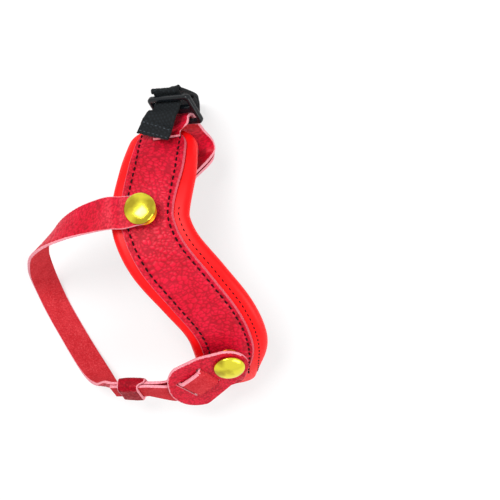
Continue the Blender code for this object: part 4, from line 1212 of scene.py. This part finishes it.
def makeWebbing():
    frames, spots = strapFrames(webbingStations(), webbing["step"])
    rings, alongs, sides = [], [], []
    for (point, width, out), spot in zip(frames, spots):
        hem = webbing["hemThickness"] * (1 - ease(webbing["hem"] - 0.8, webbing["hem"], spot))  # folded and sewn
        along, skew = width.cross(out), skewAt(spot)
        for side, n, zone in strapSection(webbing["width"], webbing["thickness"], webbing["across"], 0.45):
            low = hem if n < 0 else 0.0
            rings.append(point + width * side + out * (n - low) + along * side * skew)
            alongs.append(spot)
            sides.append(side)
    count = len(rings) // len(spots)
    rows = [rings[k * count:(k + 1) * count] for k in range(len(spots))]
    band = meshFromRings("webbingBand", rows, [[0] * count] * len(rows), [webbingBlack])
    for label, values in (("along", alongs), ("side", sides)):
        band.data.attributes.new(label, 'FLOAT', 'POINT').data.foreach_set("value", values)
    piece = fromTree("lugWebbing", band, weaveTree(), {
        "Rib pitch": webbing["ribPitch"], "Yarn width": webbing["yarnWidth"],
        "Rib depth": webbing["ribDepth"] * mm, "Seed": webbing["seed"], "Finish": webbingBlack})
    finishPiece(piece, "lug_webbing", slot="nylon_webbing")
    for row, spot in enumerate((1.8, webbing["hem"] - 1.6)):
        index = min(range(len(spots)), key=lambda i: abs(spots[i] - spot))
        point, width, out = frames[index]
        way = width + width.cross(out) * skewAt(spot)
        rise = webbing["thickness"] / 2 + webbing["hemThickness"] + 0.12
        reach = stitching["hemReach"]
        line = [point + way * side - out * rise for side in np.linspace(-reach, reach, 14)]
        sewRow("hemStitches%d" % (row + 1), line, [-out] * len(line), threadGrey, "nylon_webbing",
               stitching["hemPitch"], stitching["hemScale"])


# the pad's end loop round the buckle's lower bar, and the second layer under it

endLoop = {
    "width": 12.6, "underWidth": 8.5, "radius": 3.3, "shift": -0.5, "start": (14.7, -53.0),
    "rearAxis": (0.572, 0.178, -0.80), "underFrom": 0.52, "step": 0.5, "across": 18,
}


def loopStations():
    bar = buckleAxes()[0]
    rear = squareTo(Vector(endLoop["rearAxis"]), bar)
    up, reach = bar.cross(rear), endLoop["radius"]
    centre = bucklePoint(endLoop["shift"], buckle["height"] / 2 - buckle["bar"] / 2)
    over = panelTop() + gap + hide["thickness"] / 2
    a, w = endLoop["start"]
    lift = archPoint(a + 0.5, w - 2.6, over + 0.5)
    found = [(archPoint(a, w, over + 0.1), across), (lift, across),
             (lift.lerp(centre - rear * reach, 0.5) + Vector((0, 0, 0.3)), across + bar)]
    for angle in (0, 45, 90, 135, 180):
        turn = math.radians(angle)
        found.append((centre - rear * reach * math.cos(turn) + up * reach * math.sin(turn), bar))
    under = liningLow - 2 * gap - hide["thickness"] * 1.5
    return found + [((19.0, 56.0, 29.8), bar), ((22.5, 50.0, 26.0), (0.93, 0.25, 0.3)),
                    ((23.6, 44.0, 27.0), (0.95, 0.3, 0.1)), (archPoint(21.0, -40.0, under - 1.4), across),
                    (archPoint(18.5, -34.0, under), across), (archPoint(16.5, -28.0, under), across)]


def loopWidth(spot, whole):
    return endLoop["width"] + (endLoop["underWidth"] - endLoop["width"]) * ease(0.37 * whole, 0.5 * whole, spot)


def makeEndLoop():
    frames, spots = strapFrames(loopStations(), endLoop["step"], False)
    whole, crown = spots[-1], loopStations()[5][0]
    turn = spots[min(range(len(frames)), key=lambda i: (frames[i][0] - crown).length)]  # where it tops the bar

    def aside(spot):  # it narrows from its left side first
        return (endLoop["width"] - loopWidth(spot, whole)) / 2 * ease(0.64 * whole, 0.5 * whole, spot)

    look = dict(hide, width=loopWidth, across=endLoop["across"], seed=41.0, facing=-1, bothGrainFrom=0.36,
                aside=aside, raw=lambda spot: 1.0 * bell(spot - turn, 6.0))
    finishPiece(makeStrap("endLoop", frames, spots, look), "end_loop", slot="grain_leather")
    first = next(i for i, spot in enumerate(spots) if spot > endLoop["underFrom"] * spots[-1])
    frames, spots = frames[first:-8], [spot - spots[first] for spot in spots[first:-8]]
    look = dict(hide, width=lambda spot, whole: endLoop["underWidth"], across=14, seed=43.0, bothGrainFrom=0.0,
                shift=-(hide["thickness"] + 2 * gap))
    finishPiece(makeStrap("underStrap", frames, spots, look), "under_strap", slot="grain_leather")


# the lower anchor: a tongue of hide under the pad's end, with an eyelet

anchor = {
    "width": 16.0, "reach": 28.0, "centre": 25.5, "bend": 62.6, "step": 0.55, "across": 22,
    "radius": 6.2, "bore": 3.4, "wall": 0.9, "flange": 0.6, "sliver": 0.03,
}
anchorLevel = anchor["flange"] + gap + hide["thickness"] / 2


def anchorWidth(spot, whole):
    left, half = whole - spot, anchor["width"] / 2
    return anchor["width"] * endShare(left + 0.15, half) if left < half else anchor["width"]


def makeAnchor():
    n = liningLow - gap - hide["thickness"] / 2
    base = across * anchor["centre"]
    stations = [archPoint(anchor["centre"], w, n) for w in (74.0, 80.0, 86.0, 90.0)]
    stations += [base + down * (anchor["bend"] - back) + Vector((0, 0, anchorLevel + lift)) for back, lift in
                 ((0.1, 2.4), (1.2, 0.6), (3.2, 0), (8.0, 0), (anchor["reach"] / 2, 0), (anchor["reach"], 0))]
    frames, spots = strapFrames([(point, across) for point in stations], anchor["step"])
    look = dict(hide, width=anchorWidth, across=anchor["across"], seed=51.0)
    tongue = makeStrap("anchorTongue", frames, spots, look)
    centre = base + down * (anchor["bend"] - anchor["reach"] + anchor["width"] / 2 + 1.5)
    barrel = anchor["bore"] + anchor["wall"]
    bpy.ops.mesh.primitive_cylinder_add(vertices=64, radius=(barrel + gap) * mm, depth=10 * mm,
                                        location=tuple(centre * mm + planShift))
    tool = bpy.context.object
    hole = tongue.modifiers.new("eyelet hole", 'BOOLEAN')
    hole.operation, hole.solver, hole.object = 'DIFFERENCE', 'EXACT', tool
    applied(tongue)
    cut = bmesh.new()
    cut.from_mesh(tongue.data)
    bmesh.ops.triangulate(cut, faces=cut.faces)
    bmesh.ops.dissolve_degenerate(cut, dist=anchor["sliver"] * mm, edges=cut.edges)
    cut.to_mesh(tongue.data)
    cut.free()
    bpy.data.objects.remove(tool, do_unlink=True)
    finishPiece(tongue, "anchor_tongue", slot="grain_leather")
    low, high = anchor["flange"], anchorLevel + hide["thickness"] / 2 + gap + anchor["flange"]
    wide, bore = anchor["radius"], anchor["bore"]
    profile = [(bore, 0.25), (bore + 0.3, 0.05), (bore + 0.8, 0.0), (wide - 0.3, 0.0), (wide, 0.2),
               (wide, low - 0.1), (wide - 0.2, low), (barrel, low), (barrel, high - 0.6), (wide - 0.2, high - 0.6),
               (wide, high - 0.5), (wide - 0.05, high - 0.3), (wide - 0.35, high - 0.1), (wide - 0.9, high),
               (bore + 0.9, high), (bore + 0.4, high - 0.1), (bore + 0.1, high - 0.35), (bore, high - 0.7)]
    ring = turnedPiece("anchorEyelet", profile, centre, Vector((0, 0, 1)), goldDull, 72)
    finishPiece(ring, "anchor_eyelet", slot="plated_steel")


def rowOn(piece, points, outwards, depth):
    # the row's points set on the piece's surface, a little sunk in
    finder = bvhtree.BVHTree.FromObject(piece, bpy.context.evaluated_depsgraph_get())
    found = []
    for point, outward in zip(points, outwards):
        start = point * mm + planShift + outward * 6 * mm
        hit = finder.ray_cast(start, -outward)[0]
        found.append((hit - planShift) / mm - outward * depth if hit else point)
    return found


handPad = makePad()
makeLining()
makePanel()
makeWristStrap()
makeTab()
makeKeeper()
makeBuckle()
makeWebbing()
makeEndLoop()
makeAnchor()
makeSnap("upper", snap["upperAt"])
makeSnap("lower", snap["lowerAt"])

for label, side, left in (("panelStitchesLeft", panel["leftStitches"], stitching["leftEnd"]),
                          ("panelStitchesRight", panel["rightStitches"], stitching["rightEnd"])):
    start, end = stitching["panelStart"], padLength - left
    sewRow(label, *rowOnPad(side, start, end, panelTop() - stitching["sunk"]), threadDark, "grain_leather")
    points, outwards = rowOnPad(side, start, end, liningLow - stitching["sunk"])
    sewRow(label + "Below", points, [-outward for outward in outwards], threadRed, "lining",
           stitching["belowPitch"], stitching["belowScale"])
points, outwards = rowOnPad(stitching["borderSide"], stitching["borderStart"],
                            padLength - stitching["borderEnd"], 0.5)
sewRow("borderStitches", rowOn(handPad, points, outwards, -0.12), outwards, threadDark, "smooth_cover",
       stitching["borderPitch"], stitching["borderScale"])


# floor, light and camera

studio = {
    "eye": (45.5, 0.0, 550.0), "framed": 227.27,  # plan place of the camera, and the width it frames at the pad
    "aim": (0.0, 0.0, 0.03), "worldLevel": 0.5, "floorReach": 3.0, "floorWhite": 0.6,
    "lamps": {"keyLamp": ((-0.2, 0.2, 0.68), 0.3, 4.0), "fillLamp": ((0.48, -0.3, 0.42), 0.4, 2.4)},
}


def seenRays(tree):
    # 1 for the rays that show the backdrop itself, in sight or in a reflection
    path = tree.nodes.new("ShaderNodeLightPath").outputs
    seen = mathOf(tree, 'MAXIMUM', path["Is Camera Ray"], path["Is Glossy Ray"])
    return mathOf(tree, 'MAXIMUM', seen, path["Is Transmission Ray"])


def makeFloor():
    # seamless paper: white in sight, and it keeps the strap's soft shadow
    made, tree, shader = startMaterial("paperSweep", "F4F4F4", 0.9)
    share = mathOf(tree, 'MULTIPLY', seenRays(tree), studio["floorWhite"])
    white = addNode(tree, "ShaderNodeEmission", Color=linear("FFFFFF"), Strength=1.0)
    mixed = addNode(tree, "ShaderNodeMixShader", in0=share, in1=shader.outputs[0], in2=white.outputs[0])
    tree.links.new(mixed.outputs[0], tree.nodes["Material Output"].inputs["Surface"])
    data = bpy.data.meshes.new("floor")
    reach = studio["floorReach"]
    data.from_pydata([(-reach, -reach, 0), (reach, -reach, 0), (reach, reach, 0), (-reach, reach, 0)], [],
                     [(0, 1, 2, 3)])
    data.materials.append(made)
    floor = inScene("floor", data)


def makeStudio():
    for name, (place, size, power) in studio["lamps"].items():
        data = bpy.data.lights.new(name, 'AREA')
        data.shape = 'RECTANGLE'
        data.size = data.size_y = size
        data.energy = power
        lamp = inScene(name, data)
        lamp.location = place
        lamp.rotation_euler = (Vector(studio["aim"]) - Vector(place)).to_track_quat('-Z', 'Y').to_euler()
    world = bpy.data.worlds.new("studioWorld")
    world.use_nodes = True
    tree = world.node_tree
    level = addNode(tree, "ShaderNodeMapRange", Value=seenRays(tree), To_Min=studio["worldLevel"], To_Max=1.0)
    tree.nodes["Background"].inputs["Color"].default_value = linear("FFFFFF")
    tree.links.new(level.outputs["Result"], tree.nodes["Background"].inputs["Strength"])
    bpy.context.scene.world = world
    data = bpy.data.cameras.new("camera")
    data.sensor_width = 36.0
    data.lens = data.sensor_width * (studio["eye"][2] - 50.0) / studio["framed"]
    data.clip_start = 0.01
    eye = inScene("camera", data)
    eye.location = Vector(studio["eye"]) * mm + planShift
    bpy.context.scene.camera = eye
    bpy.context.scene.view_settings.view_transform = "Standard"
    print("studio made")


makeFloor()
makeStudio()
